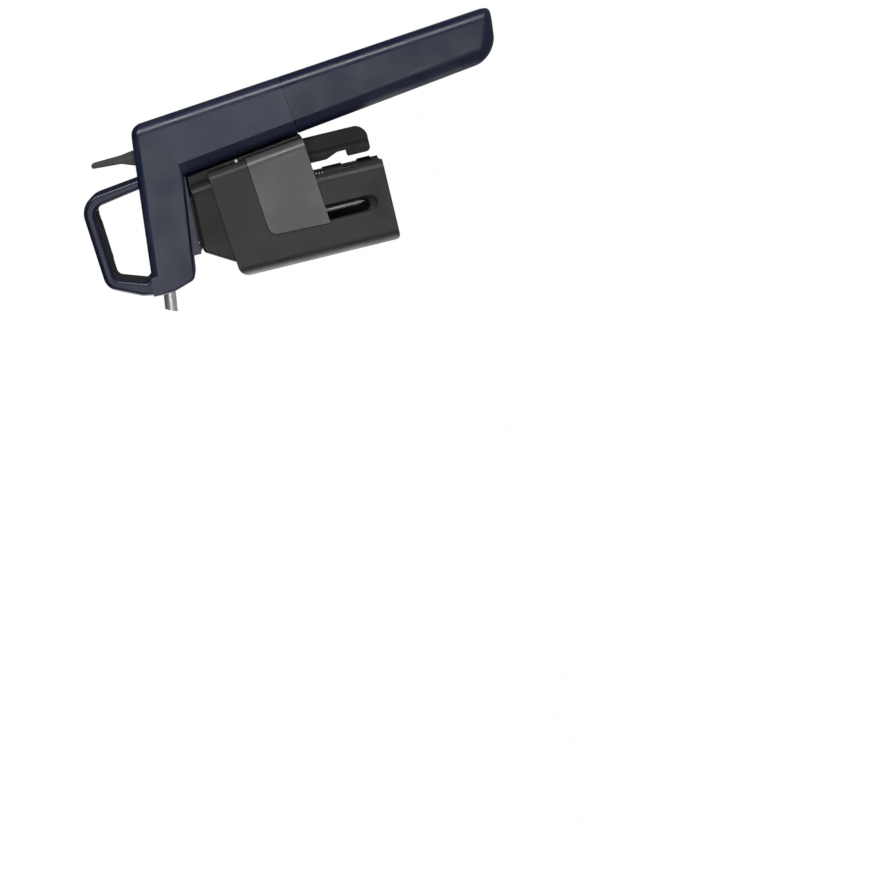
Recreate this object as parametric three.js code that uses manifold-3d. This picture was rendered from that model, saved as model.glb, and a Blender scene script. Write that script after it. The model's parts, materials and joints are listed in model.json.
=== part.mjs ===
import * as THREE from 'three';
import { mergeVertices } from 'three/addons/utils/BufferGeometryUtils.js';
import Module from 'manifold-3d';

const wasm = await Module();
wasm.setup();

// Lengths are in millimetres. +Z runs up the needle, +X points to the long arm and Y is the depth.
// The origin is the centre of the lip pad's lower face.

const { degToRad } = THREE.MathUtils;

// Fits
const SEAT_GAP = 0.3;
const RUNNING_GAP = 0.5;
const OVERRUN = 6;

// Resolution
const CORNER_STEPS = 4;
const BEVEL_STEPS = 3;
const ROUND_STEPS = 26;
const SMALL_STEPS = 12;
const PIN_STEPS = 24;
const COIL_STEPS = 8;
const MERGE_GAP = 1e-4;
const FILLET_SHARE = 0.49;

// Long arm: its centreline leans away from the needle as it goes down
const ARM_WALL = 1.9;
const ARM_BREADTH = 1;
const ARM_OVER_RAIL = 0.6;
const ARM_LEAN = degToRad(6.05);
const ARM_TAPER = degToRad(0.95);
const ARM_INNER_BEVEL = 7;
const ARM_INNER_CHEEK = 9;
const ARM_OUTER_BEVEL = 5.2;
const ARM_OUTER_CHEEK = 6.5;
const ARM_BEVEL_SHARE = 0.86;
const ARM_CHEEK_SHARE = 0.4;
const ARM_LENGTH = 143;
const ARM_SEAM = 33;
const ARM_END_ROUND = 11;
const ARM_TIP_ROUND = 3.5;
const ARM_TIP_RISE = 5;
const ARM_CHEEK_ROUND = 6;

// Short arm
const BOSS_FLOOR = 26.6;
const HEAD_HEIGHT = 22.9;
const HEAD_HEEL_DROP = 4.3;
const HEAD_CHIN_STEP = 1.3;
const HEAD_TOP_SLOPE = degToRad(6.5);
const HEAD_HEEL_ROUND = 4;
const HEAD_EDGE_ROUND = 1.5;
const HEAD_CROWN_ROUND = 3.4;
const HEAD_REACH = 20.8;
const HEAD_CHIN_X = 16.9;
const HEAD_CHIN_ROUND = 4;
const BOSS_REACH = 5.6;
const BOSS_DEPTH = 23;

// Loop handle
const LOOP_SPAN = 58.1;
const LOOP_RISE = 30;
const LOOP_DEPTH = 28.6;
const LOOP_EDGE_ROUND = 2.2;
const LOOP_SHARES = [[1.024, -0.3, 0], [0.942, 1.013, 0.18], [0.167, 0.938, 0.14], [0.03, 0.383, 0.15],
  [0, 0.06, 0], [0, -0.3, 0], [0.172, -0.3, 0], [0.172, 0.187, 0], [0.139, 0.28, 0.03],
  [0.227, 0.763, 0.07], [0.849, 0.817, 0.09], [0.943, -0.3, 0]];
const STUD_DIAMETER = 2.4;
const STUD_LENGTH = 7;
const STUD_X_SHARES = [0.1, 0.955];
const GRIP_LENGTH = 20.6;
const GRIP_DEPTH = 19;
const GRIP_THICKNESS = 2.4;
const GRIP_PROUD = 0.8;
const GRIP_SHARE = 0.51;

// Spout
const SPOUT_DIAMETER = 6.2;
const SPOUT_BORE = 4.4;
const SPOUT_OUT = 9.7;
const SPOUT_IN = 15;
const SPOUT_LIFT = 2.1;
const SPOUT_RISE = degToRad(9);
const SPOUT_MOUTH_CUT = degToRad(-16);
const SPOUT_SEAL_LENGTH = 1.5;

// Trigger and valve
const TRIGGER_SETBACK = 4;
const TRIGGER_REACH = 23.4;
const TRIGGER_WAIST_REACH = 8.8;
const TRIGGER_ROOT_REACH = 2.8;
const VALVE_DROP = 9;
const TRIGGER_PIVOT_HEIGHT = 30;
const TRIGGER_WIDTH = 12;
const TRIGGER_TIP_THICKNESS = 2.4;
const TRIGGER_WAIST_THICKNESS = 3.8;
const TRIGGER_ROOT_THICKNESS = 7;
const TRIGGER_BOSS_RADIUS = 3.6;
const TRIGGER_SWING = degToRad(10);
const TRIGGER_PIN_DIAMETER = 2.6;
const TRIGGER_PIN_LENGTH = 20;
const VALVE_DIAMETER = 9;
const VALVE_LENGTH = 27;
const VALVE_END_X = 10;
const VALVE_BORE = 5.6;
const STEM_DIAMETER = 3;
const STEM_FLANGE_DIAMETER = 5;
const STEM_FLANGE_LENGTH = 1.4;
const VALVE_SPRING_WIRE = 0.5;
const VALVE_SPRING_COILS = 5;
const VALVE_WALL = 3;
const GAS_LINK_DIAMETER = 2.6;
const GAS_LINK_BORE = 1.2;
const GAS_LINK_RIM = 2.8;
const GAS_LINK_SETBACK = 14.4;

// Needle
const NEEDLE_DIAMETER = 2.6;
const NEEDLE_BORE = 1.3;
const NEEDLE_TIP = 59;
const NEEDLE_POINT_LENGTH = 4.5;
const NEEDLE_PORT_UP = 7;
const NEEDLE_PORT_LENGTH = 3;
const HUB_DIAMETER = 8.6;
const HUB_ROOF = 7.5;
const HUB_NUT_DIAMETER = 12;
const HUB_NUT_LENGTH = 4;

// Regulator, capsule and cup, measured down the arm from where it crosses the lip plane
const CAPSULE_DIAMETER = 22;
const REGULATOR_TOP = -11;
const REGULATOR_FOOT = 28;
const REGULATOR_SOCKET = 7;
const PIERCER_DIAMETER = 4;
const PIERCER_LENGTH = 6;
const CAPSULE_NECK_DIAMETER = 8.6;
const CAPSULE_NECK_LENGTH = 9;
const CAPSULE_SHOULDER = 11;
const CAPSULE_LENGTH = 90;
const THREAD_ROOM = 0.4;
const THREAD_WALL = 1.2;
const THREAD_IN_HEAD = 10;
const THREAD_IN_CUP = 12;
const CUSHION_THICKNESS = 3;
const CUSHION_HOLE = 12;
const CUP_RELIEF_DIAMETER = 16;
const CUP_FLOOR = 4;

// Guide rail
const RAIL_SETBACK = 7.2;
const RAIL_WIDTH = 12.3;
const RAIL_DEPTH = 12;
const RAIL_END = 67.4;
const RAIL_END_ROUND = 5.5;
const RAIL_HOOK_REACH = 0.8;
const RAIL_NOTCH_TOP = 44.9;
const RAIL_NOTCH_FOOT = 55.6;
const RAIL_NOTCH_DEPTH = 2.4;
const RAIL_GROOVE_SETBACK = 4.5;
const RAIL_GROOVE_WIDTH = 1.8;
const RAIL_GROOVE_DEPTH = 0.9;
const RAIL_TENON_DEPTH = 8;
const RAIL_TENON_HEIGHT = 5.4;
const RAIL_TENON_LENGTH = 3.8;
const CROSS_PIN_DIAMETER = 1.6;

// Clamp collar and spine
const COLLAR_TOP = 25;
const COLLAR_TILT = degToRad(2.6);
const COLLAR_TAIL_STEP = 3;
const COLLAR_STEP = 1.5;
const COLLAR_NOSE_TOP = 4.3;
const COLLAR_NOSE_FOOT = 12.9;
const COLLAR_ROUND = 5;
const COLLAR_EDGE_ROUND = 1.5;
const GASKET_THICKNESS = 0.8;
const GASKET_RIBS = 18;
const GASKET_RIB_DEPTH = 0.8;
const GASKET_INSET = 1.4;
const SPINE_ROOM = 0.8;
const SPINE_GAP = 1;
const SPINE_DEPTH = 20;
const SPINE_PLATE = 2.7;
const SPINE_FOOT_PLATE = 1.2;
const SPINE_FOOT = 71;
const SPINE_STEP = 35.4;
const SPINE_BRIDGE = 9;
const TONGUE_WIDTH = 1;
const TONGUE_TOP = 10;

// Clamp shells
const SHELL_SIDE_ROOM = 2.9;
const SHELL_NOSE_ROOM = 2;
const SHELL_HEEL_STEP = -1.7;
const SHELL_TAIL_SETBACK = 3.1;
const SHELL_WALL = 2.4;
const SHELL_NOSE_ROUND = 6.5;
const SHELL_HEEL_ROUND = 5;
const SHELL_TAIL_ROUND = 4.5;
const SHELL_FOOT = 71;
const SHELL_FOOT_ROUND = 2.6;
const SHELL_SHOULDER_ROUND = 6;
const SHELL_TAIL_LEAN = degToRad(6.5);
const SHELL_SEAM_NOSE = 10.2;
const SHELL_SEAM_TAIL = 13.8;
const SHELL_SPLIT_GAP = 0.6;
const SHELL_BACK_GAP = 4.4;
const SHELL_HEEL_GAP = 2.6;
const SLOT_X = 0;
const SLOT_WIDTH = 6.6;
const SLOT_TOP = 34;
const SLOT_FOOT = 60;
const PLATE_THICKNESS = 1.6;
const PLATE_PROUD = 0.5;
const PLATE_TOP_TAIL = 5.8;
const PLATE_TOP_NOSE = 8.7;
const PLATE_NOSE_X = 3.9;
const PLATE_FOOT_X = 5;
const PLATE_FOOT_NOSE = 38.9;
const PLATE_FOOT_TAIL = 35.4;
const PLATE_ROUND = 4.6;
const RIVET_DIAMETER = 1.6;
const RIVET_LENGTH = 2.8;
const RIVET_PROUD = 0.3;
const RIVET_SETBACK = 2.4;
const RIVET_DROP = 1.1;

// Hinges of the shells
const HINGE_SETBACK = 0.6;
const HINGE_STANDOFF = 3.2;
const HINGE_PIN_DIAMETER = 2.4;
const HINGE_BARREL_DIAMETER = 4.6;
const HINGE_LUG = 7;
const HINGE_LUG_TOPS = [8, -27, -60];
const HINGE_KNUCKLE_TOPS = [-8, -42];
const HINGE_KNUCKLE = 10;
const HINGE_SPRING_WIRE = 0.6;
const HINGE_SPRING_COILS = 4;

// Neck guide, lip pad and jaw pads
const JAW_SQUEEZE = 1.4;
const NECK_BORE = 30.6;
const GUIDE_WALL = 1.4;
const GUIDE_FOOT = 25;
const LIP_PAD_THICKNESS = 2.6;
const LIP_PAD_HOLE = 6;
const BUSH_DIAMETER = 7;
const BUSH_LENGTH = 6;
const JAW_PAD_TOP = 38;
const JAW_PAD_FOOT = 66;
const JAW_PAD_WIDTH = 26;
const JAW_PAD_MOUTH = 9;
const GUIDE_TOP = 7.6;
const GUIDE_SCREW_DIAMETER = 2.4;
const GUIDE_SCREW_HEAD = 5;
const GUIDE_SCREW_LENGTH = 13;
const GUIDE_SCREW_Y = 9;
const COLLAR_BOSS_DIAMETER = 24;

// Sizes that follow from the ones above
const GUIDE_RADIUS = NECK_BORE / 2 + GUIDE_WALL;
const SHELL_DEPTH = 2 * (GUIDE_RADIUS + SHELL_SIDE_ROOM + SHELL_WALL);
const SHELL_NOSE_X = GUIDE_RADIUS + SHELL_NOSE_ROOM + SHELL_WALL;
const SHELL_HEEL_X = SHELL_NOSE_X + SHELL_HEEL_STEP;
const COLLAR_DEPTH = SHELL_DEPTH - 2 * COLLAR_STEP;
const SPINE_INNER_X = GUIDE_RADIUS + SPINE_ROOM;
const HINGE_X = SPINE_INNER_X + HINGE_SETBACK;
const HINGE_Y = SPINE_DEPTH / 2 + HINGE_STANDOFF;
const RAIL_INNER_X = SPINE_INNER_X + RAIL_SETBACK;
const RAIL_OUTER_X = RAIL_INNER_X + RAIL_WIDTH;
const RAIL_GROOVE_X = RAIL_INNER_X + RAIL_GROOVE_SETBACK;
const SHELL_TAIL_X = RAIL_OUTER_X - SHELL_TAIL_SETBACK;
const RIVET_X = RAIL_OUTER_X - RIVET_SETBACK;
const JAW_GRIP = NECK_BORE - JAW_SQUEEZE;
const REGULATOR_DIAMETER = CAPSULE_DIAMETER;
const GAS_LINK_OFFSET = REGULATOR_DIAMETER / 2 - GAS_LINK_RIM;
const THREAD_DIAMETER = CAPSULE_DIAMETER + 2 * (THREAD_ROOM + THREAD_WALL);
const ARM_DEPTH = THREAD_DIAMETER + 2 * ARM_WALL;
const ARM_WIDTH = ARM_DEPTH + ARM_BREADTH;
const ARM_FOOT_X = RAIL_OUTER_X + ARM_WIDTH / 2 - ARM_OVER_RAIL;
const TRIGGER_X = ARM_FOOT_X - TRIGGER_SETBACK;
const GAS_LINK_END_X = TRIGGER_X - GAS_LINK_SETBACK;
const HEAD_TOP = BOSS_FLOOR + HEAD_HEIGHT - HEAD_HEEL_DROP;
const HEAD_CHIN_HEIGHT = HEAD_HEIGHT - HEAD_CHIN_STEP;
const SPOUT_HEIGHT = HEAD_TOP + SPOUT_LIFT;
const TRIGGER_TIP_HEIGHT = HEAD_TOP + TRIGGER_REACH;
const TRIGGER_WAIST_HEIGHT = HEAD_TOP + TRIGGER_WAIST_REACH;
const TRIGGER_ROOT_HEIGHT = HEAD_TOP + TRIGGER_ROOT_REACH;
const VALVE_HEIGHT = HEAD_TOP - VALVE_DROP;
const HUB_LENGTH = HEAD_HEIGHT - HUB_ROOF;

// Materials
const paint = (color, roughness, metalness) => new THREE.MeshStandardMaterial({ color, roughness,
  metalness });
const NAVY = () => paint(0x2b3045, 0.42, 0.35);
const CHARCOAL = () => paint(0x2e2e2e, 0.55, 0);
const BLACK = () => paint(0x1c1c1c, 0.5, 0);
const GREY = () => paint(0x4a4a4b, 0.45, 0.1);
const RUBBER = () => paint(0x1a1a19, 0.85, 0);
const STEEL = () => paint(0xc4c6c8, 0.25, 1);
const BRASS = () => paint(0xb59a55, 0.35, 1);

// Solids
function toSolid(geometry) {
  const bare = geometry.clone();
  bare.deleteAttribute('normal');
  bare.deleteAttribute('uv');
  const { attributes, index } = mergeVertices(bare, MERGE_GAP);
  return new wasm.Manifold(new wasm.Mesh({
    numProp: 3,
    vertProperties: Float32Array.from(attributes.position.array),
    triVerts: Uint32Array.from(index.array),
  }));
}

function toGeometry(solid) {
  const { vertProperties, triVerts } = solid.getMesh();
  const geometry = new THREE.BufferGeometry();
  geometry.setAttribute('position', new THREE.BufferAttribute(Float32Array.from(vertProperties), 3));
  geometry.setIndex(new THREE.BufferAttribute(Uint32Array.from(triVerts), 1));
  return geometry;
}

const join = (first, ...others) => others.reduce((sum, other) => sum.add(other), first);
const cut = (first, ...others) => others.reduce((rest, other) => rest.subtract(other), first);
const common = (first, ...others) => others.reduce((shared, other) => shared.intersect(other), first);

// A closed outline from [x, y, corner radius] corners
function rounded(corners) {
  const count = corners.length;
  const points = corners.flatMap(([x, y, radius = 0], i) => {
    const at = new THREE.Vector2(x, y);
    if (!radius) return [at];
    const [backX, backY] = corners[(i + count - 1) % count];
    const [onX, onY] = corners[(i + 1) % count];
    const back = new THREE.Vector2(backX, backY).sub(at);
    const on = new THREE.Vector2(onX, onY).sub(at);
    const half = Math.acos(back.dot(on) / (back.length() * on.length())) / 2;
    const longest = Math.min(back.length(), on.length()) * FILLET_SHARE;
    const reach = Math.min(radius / Math.tan(half), longest);
    const fitted = reach * Math.tan(half);
    const middle = back.clone().normalize().add(on.clone().normalize()).normalize();
    const centre = at.clone().addScaledVector(middle, fitted / Math.sin(half));
    const start = at.clone().addScaledVector(back.normalize(), reach).sub(centre);
    const end = at.clone().addScaledVector(on.normalize(), reach).sub(centre);
    const sweep = Math.atan2(start.cross(end), start.dot(end));
    return Array.from({ length: CORNER_STEPS + 1 }, (_, step) => (
      start.clone().rotateAround(new THREE.Vector2(), sweep * step / CORNER_STEPS).add(centre)));
  });
  return new THREE.Shape(points);
}

const box = (x0, x1, y0, y1, z0, z1) => toSolid(
  new THREE.BoxGeometry(x1 - x0, y1 - y0, z1 - z0).translate((x0 + x1) / 2, (y0 + y1) / 2, (z0 + z1) / 2));

// An outline in the side view, centred on the plane of symmetry, with its long edges rounded
function sideSolid(shape, depth, edge = 0) {
  const bevel = edge ? { bevelThickness: edge, bevelSize: edge, bevelOffset: -edge,
    bevelSegments: BEVEL_STEPS } : {};
  const geometry = new THREE.ExtrudeGeometry(shape, {
    depth: depth - 2 * edge, bevelEnabled: edge > 0, curveSegments: CORNER_STEPS, ...bevel,
  });
  return toSolid(geometry.translate(0, 0, edge - depth / 2).rotateX(Math.PI / 2));
}

// An outline in the top view, from z0 up to z1
const planSolid = (shape, z0, z1) => toSolid(
  new THREE.ExtrudeGeometry(shape, { depth: z1 - z0, bevelEnabled: false }).translate(0, 0, z0));

// A profile of [radius, height] pairs turned about Z
const turned = (profile, steps = ROUND_STEPS) => toSolid(
  new THREE.LatheGeometry(profile.map(([radius, height]) => new THREE.Vector2(radius, height)), steps)
    .rotateX(Math.PI / 2));

const rod = (radius, z0, z1, steps = ROUND_STEPS) => turned([[0, z0], [radius, z0], [radius, z1], [0, z1]],
  steps);

const pipe = (outer, inner, z0, z1, steps = ROUND_STEPS) => turned(
  [[inner, z0], [outer, z0], [outer, z1], [inner, z1], [inner, z0]], steps);

// A helical spring about Z
function spring(radius, wire, coils, z0, z1) {
  const points = Array.from({ length: coils * COIL_STEPS + 1 }, (_, i) => {
    const share = i / (coils * COIL_STEPS);
    const angle = share * coils * Math.PI * 2;
    const height = THREE.MathUtils.lerp(z0 + wire, z1 - wire, share);
    return new THREE.Vector3(radius * Math.cos(angle), radius * Math.sin(angle), height);
  });
  const section = new THREE.Shape(new THREE.EllipseCurve(0, 0, wire / 2, wire / 2).getPoints(5).slice(0,
    -1));
  return toSolid(new THREE.ExtrudeGeometry(section, {
    steps: coils * COIL_STEPS, extrudePath: new THREE.CatmullRomCurve3(points), bevelEnabled: false,
  }));
}

function placed(solid, matrix) {
  return toSolid(toGeometry(solid).applyMatrix4(matrix));
}

// Moves a solid built about Z so that its Z runs from one point of the side view along a direction
function along(solid, x, z, directionX, directionZ) {
  const lean = Math.atan2(directionX, directionZ);
  return placed(solid, new THREE.Matrix4().makeRotationY(lean).setPosition(x, 0, z));
}

const moved = (solid, x, y, z) => placed(solid, new THREE.Matrix4().makeTranslation(x, y, z));

function mirrored(solid) {
  const geometry = toGeometry(solid).applyMatrix4(new THREE.Matrix4().makeScale(1, -1, 1));
  geometry.setIndex(Array.from(geometry.index.array).reverse());
  return toSolid(geometry);
}

const dispenser = new THREE.Group();
const arm = new THREE.Group();
arm.position.x = ARM_FOOT_X;
arm.rotation.y = -ARM_LEAN;
arm.updateMatrix();
dispenser.add(arm);
const toArm = arm.matrix.clone();

function add(parent, name, solid, material) {
  const mesh = new THREE.Mesh(toGeometry(solid), material);
  mesh.name = name;
  parent.add(mesh);
}

// Lines of the side view that several pieces follow
const armLine = (side, z) => ARM_FOOT_X - z * Math.tan(ARM_LEAN - side * ARM_TAPER)
  + side * ARM_WIDTH / 2 / Math.cos(ARM_LEAN - side * ARM_TAPER);
const topLine = (x) => HEAD_TOP + (armLine(1, HEAD_TOP) - x) * Math.tan(HEAD_TOP_SLOPE);
const tailLine = (z) => SHELL_TAIL_X - z * Math.tan(SHELL_TAIL_LEAN);
const seamLine = (x) => THREE.MathUtils.mapLinear(x, -SHELL_NOSE_X, tailLine(0), SHELL_SEAM_NOSE,
  SHELL_SEAM_TAIL);

// The long arm, built about its own axis with Z running up it
function armForm() {
  const reach = ARM_WIDTH * 2;
  const half = ARM_DEPTH / 2;
  const side = (bevel, cheek) => {
    const edge = [[-reach, half], [-bevel, half],
      [(ARM_BEVEL_SHARE - 1) * bevel, half - ARM_CHEEK_SHARE * cheek, cheek], [0, half - cheek, cheek * 2]];
    const section = rounded([...edge.map(([x, y, ...round]) => [x, -y, ...round]), ...edge.reverse()]);
    return moved(along(planSolid(section, -ARM_LENGTH - reach, reach), 0, 0, Math.sin(ARM_TAPER),
      Math.cos(ARM_TAPER)), ARM_WIDTH / 2, 0, 0);
  };
  const inner = placed(side(ARM_INNER_BEVEL, ARM_INNER_CHEEK), new THREE.Matrix4().makeRotationZ(Math.PI));
  return common(side(ARM_OUTER_BEVEL, ARM_OUTER_CHEEK), inner);
}

const chinX = -HEAD_CHIN_X;
const cornerX = armLine(-1, BOSS_FLOOR);
const chinLine = (x) => topLine(x) - THREE.MathUtils.mapLinear(x, cornerX, chinX, HEAD_HEIGHT,
  HEAD_CHIN_HEIGHT);
const tilted = (height) => (x) => height - x * Math.tan(COLLAR_TILT);
const bossFloor = tilted(BOSS_FLOOR);
const valveLine = (x) => VALVE_HEIGHT + (TRIGGER_X - x) * Math.tan(HEAD_TOP_SLOPE);
const spoutLine = (x) => SPOUT_HEIGHT - (x + HEAD_REACH) * Math.tan(SPOUT_RISE);
const slotStart = TRIGGER_X - TRIGGER_ROOT_THICKNESS / 2 - RUNNING_GAP
  - (topLine(TRIGGER_X) - TRIGGER_PIVOT_HEIGHT) * Math.tan(TRIGGER_SWING);
const slotEnd = TRIGGER_X + TRIGGER_ROOT_THICKNESS / 2 + RUNNING_GAP;
const hubTop = BOSS_FLOOR + HUB_LENGTH;
const loopX = (share) => -HEAD_REACH + share * LOOP_SPAN;
const studs = STUD_X_SHARES.map(loopX);
const tenonX = RAIL_INNER_X + RUNNING_GAP;
const tenonTop = BOSS_FLOOR + RAIL_TENON_HEIGHT;
const crossPinX = tenonX + RAIL_TENON_LENGTH / 2;
const crossPinHeight = BOSS_FLOOR + RAIL_TENON_HEIGHT / 2;

// A rod through the depth of the head, open at its far side
const crossRod = (diameter, x, z, y0, y1) => moved(
  toSolid(new THREE.CylinderGeometry(diameter / 2, diameter / 2, y1 - y0, PIN_STEPS)), x, (y0 + y1) / 2,
    z);

function gasLink(radius, overrun) {
  const foot = new THREE.Vector3(-GAS_LINK_OFFSET, 0, -REGULATOR_TOP + SEAT_GAP).applyMatrix4(toArm);
  const top = new THREE.Vector3(GAS_LINK_END_X, 0, valveLine(GAS_LINK_END_X) - VALVE_DIAMETER / 2
    - SEAT_GAP);
  const run = top.clone().sub(foot);
  return { foot, run, solid: along(radius(run.length() + overrun, -overrun), foot.x, foot.z, run.x, run.z) };
}

function headBlank() {
  const reach = ARM_WIDTH * 2;
  const heel = armLine(1, HEAD_TOP);
  const left = -HEAD_REACH - reach;
  const crown = sideSolid(rounded([[left, topLine(left)], [left, -reach], [heel + reach, -reach],
    [heel, HEAD_TOP, HEAD_HEEL_ROUND]]), ARM_DEPTH, HEAD_CROWN_ROUND);
  const heelCap = rounded([[-reach, -reach * 2], [armLine(1, -reach * 2), -reach * 2],
    [heel, HEAD_TOP, HEAD_HEEL_ROUND], [-reach, topLine(-reach)]]);
  const below = box(-reach, reach, -reach, reach, -reach * 4, -ARM_SEAM + SEAT_GAP / 2);
  const longArm = cut(common(placed(armForm(), toArm), crown,
    sideSolid(heelCap, ARM_DEPTH)), placed(below, toArm));
  const inside = ARM_FOOT_X;
  const flushNose = box(-reach, LOOP_SHARES[6][0] * LOOP_SPAN - HEAD_REACH - SEAT_GAP, -reach, reach, -reach,
    reach * 2);
  const shortArm = common(sideSolid(rounded([[inside, topLine(inside)],
    [-HEAD_REACH + SEAT_GAP, topLine(-HEAD_REACH)],
    [-HEAD_REACH, SPOUT_HEIGHT + SPOUT_DIAMETER / 2], [-HEAD_REACH + SEAT_GAP,
      SPOUT_HEIGHT - SPOUT_DIAMETER / 2],
    [chinX, chinLine(chinX), HEAD_CHIN_ROUND], [cornerX, chinLine(cornerX)],
    [inside, chinLine(cornerX)]]), ARM_DEPTH, HEAD_EDGE_ROUND), join(crown, flushNose));
  const bossTop = BOSS_FLOOR + HEAD_HEIGHT / 2;
  const boss = sideSolid(rounded([[-BOSS_REACH, bossTop], [-BOSS_REACH, bossFloor(-BOSS_REACH)],
    [cornerX, bossFloor(cornerX)], [cornerX, bossTop]]), BOSS_DEPTH);
  return join(longArm, shortArm, boss);
}

function headBody() {
  const armBores = [
    rod(REGULATOR_DIAMETER / 2 + SEAT_GAP, -ARM_SEAM - OVERRUN, -REGULATOR_TOP + SEAT_GAP),
    rod(THREAD_DIAMETER / 2 + SEAT_GAP, -ARM_SEAM - OVERRUN, THREAD_IN_HEAD - ARM_SEAM + SEAT_GAP),
  ].map((bore) => placed(bore, toArm));
  const triggerSlot = box(slotStart, slotEnd, -TRIGGER_WIDTH / 2 - RUNNING_GAP,
    TRIGGER_WIDTH / 2 + RUNNING_GAP,
    TRIGGER_PIVOT_HEIGHT - TRIGGER_BOSS_RADIUS - RUNNING_GAP, HEAD_TOP + OVERRUN);
  const valveBore = along(rod(VALVE_DIAMETER / 2 + SEAT_GAP, 0, VALVE_LENGTH * 2), VALVE_END_X - SEAT_GAP,
    valveLine(VALVE_END_X - SEAT_GAP), Math.cos(HEAD_TOP_SLOPE), -Math.sin(HEAD_TOP_SLOPE));
  const valveReach = common(valveBore, box(0, slotStart + SEAT_GAP, -VALVE_DIAMETER, VALVE_DIAMETER, 0,
    HEAD_TOP * 2));
  const gasWay = along(rod(STEM_DIAMETER / 2, -VALVE_END_X, OVERRUN, SMALL_STEPS), VALVE_END_X,
    valveLine(VALVE_END_X),
    Math.cos(HEAD_TOP_SLOPE), -Math.sin(HEAD_TOP_SLOPE));
  const hubBore = join(rod(HUB_DIAMETER / 2 + SEAT_GAP, BOSS_FLOOR - OVERRUN, hubTop + SEAT_GAP),
    rod(HUB_NUT_DIAMETER / 2 + SEAT_GAP, BOSS_FLOOR - OVERRUN, BOSS_FLOOR + HUB_NUT_LENGTH + SEAT_GAP),
    rod(SPOUT_BORE / 2, hubTop, spoutLine(0) + SPOUT_BORE / 2, SMALL_STEPS));
  const spoutBore = join(
    spoutPlaced(rod(SPOUT_DIAMETER / 2 + SEAT_GAP, -SPOUT_IN - SPOUT_SEAL_LENGTH - 2 * SEAT_GAP, OVERRUN)),
    spoutPlaced(rod(SPOUT_BORE / 2, -HEAD_REACH - SPOUT_BORE / 2, 0, SMALL_STEPS)));
  const tenonPocket = box(tenonX - SEAT_GAP, tenonX + RAIL_TENON_LENGTH + SEAT_GAP,
    -RAIL_TENON_DEPTH / 2 - SEAT_GAP, RAIL_TENON_DEPTH / 2 + SEAT_GAP, 0, tenonTop + SEAT_GAP);
  const pinBores = [
    crossRod(TRIGGER_PIN_DIAMETER + SEAT_GAP * 2, TRIGGER_X, TRIGGER_PIVOT_HEIGHT, -TRIGGER_PIN_LENGTH / 2,
      ARM_DEPTH),
    crossRod(CROSS_PIN_DIAMETER + SEAT_GAP * 2, crossPinX, crossPinHeight, -BOSS_DEPTH / 2, ARM_DEPTH),
  ];
  const studBores = studs.map((x) => moved(rod(STUD_DIAMETER / 2 + SEAT_GAP, -STUD_LENGTH / 2 - SEAT_GAP,
    OVERRUN, SMALL_STEPS), x, 0, topLine(x)));
  const linkBore = gasLink((length, start) => rod(GAS_LINK_DIAMETER / 2 + SEAT_GAP, start, length,
    SMALL_STEPS),
    SEAT_GAP * 2).solid;
  return cut(headBlank(), ...armBores, triggerSlot, valveReach, gasWay, hubBore, spoutBore, tenonPocket,
    ...pinBores, ...studBores, linkBore);
}

// Places a solid built about Z on the spout's axis, with its zero at the end face of the head
function spoutPlaced(solid) {
  return along(solid, -HEAD_REACH, SPOUT_HEIGHT, -Math.cos(SPOUT_RISE), Math.sin(SPOUT_RISE));
}

const loopFoot = topLine(loopX(1));
const loopPoint = ([x, z, radius]) => [loopX(x), loopFoot + z * LOOP_RISE, radius * LOOP_SPAN];

// A strip along the inner side of the loop's top bar, grown by a gap
function gripStrip(depth, gap, edge) {
  const [start, end] = LOOP_SHARES.slice(9, 11).map((share) => new THREE.Vector2(...loopPoint(share)));
  const run = end.clone().sub(start).normalize();
  const rise = new THREE.Vector2(-run.y, run.x);
  const middle = start.clone().lerp(end, GRIP_SHARE);
  const at = (x, z, radius) => {
    const point = middle.clone().addScaledVector(run, x).addScaledVector(rise, z);
    return [point.x, point.y, radius];
  };
  const half = GRIP_LENGTH / 2 + gap;
  const top = GRIP_THICKNESS - GRIP_PROUD + gap;
  return sideSolid(rounded([at(-half, -GRIP_PROUD - gap, GRIP_PROUD),
    at(half, -GRIP_PROUD - gap, GRIP_PROUD),
    at(half, top, 0), at(-half, top, 0)]), depth + 2 * gap, edge);
}

function addLoop() {
  const underHead = rounded([[-HEAD_REACH - OVERRUN, topLine(-HEAD_REACH - OVERRUN) + SEAT_GAP],
    [-HEAD_REACH - OVERRUN, 0], [HEAD_TOP * 2, 0], [HEAD_TOP * 2, topLine(HEAD_TOP * 2) + SEAT_GAP]]);
  const studHoles = studs.map((x) => moved(rod(STUD_DIAMETER / 2 + SEAT_GAP, -OVERRUN,
    STUD_LENGTH / 2 + SEAT_GAP,
    SMALL_STEPS), x, 0, topLine(x)));
  const loop = cut(sideSolid(rounded(LOOP_SHARES.map(loopPoint)), LOOP_DEPTH, LOOP_EDGE_ROUND),
    sideSolid(underHead, ARM_DEPTH), ...studHoles, gripStrip(GRIP_DEPTH, SEAT_GAP, 0));
  add(dispenser, 'loop_handle', loop, NAVY());
  add(dispenser, 'loop_grip_pad', gripStrip(GRIP_DEPTH, 0, 0), RUBBER());
  studs.forEach((x, i) => add(dispenser, `loop_stud_${i + 1}`,
    moved(rod(STUD_DIAMETER / 2, -STUD_LENGTH / 2, STUD_LENGTH / 2, SMALL_STEPS), x, 0, topLine(x)),
      STEEL()));
}

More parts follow.
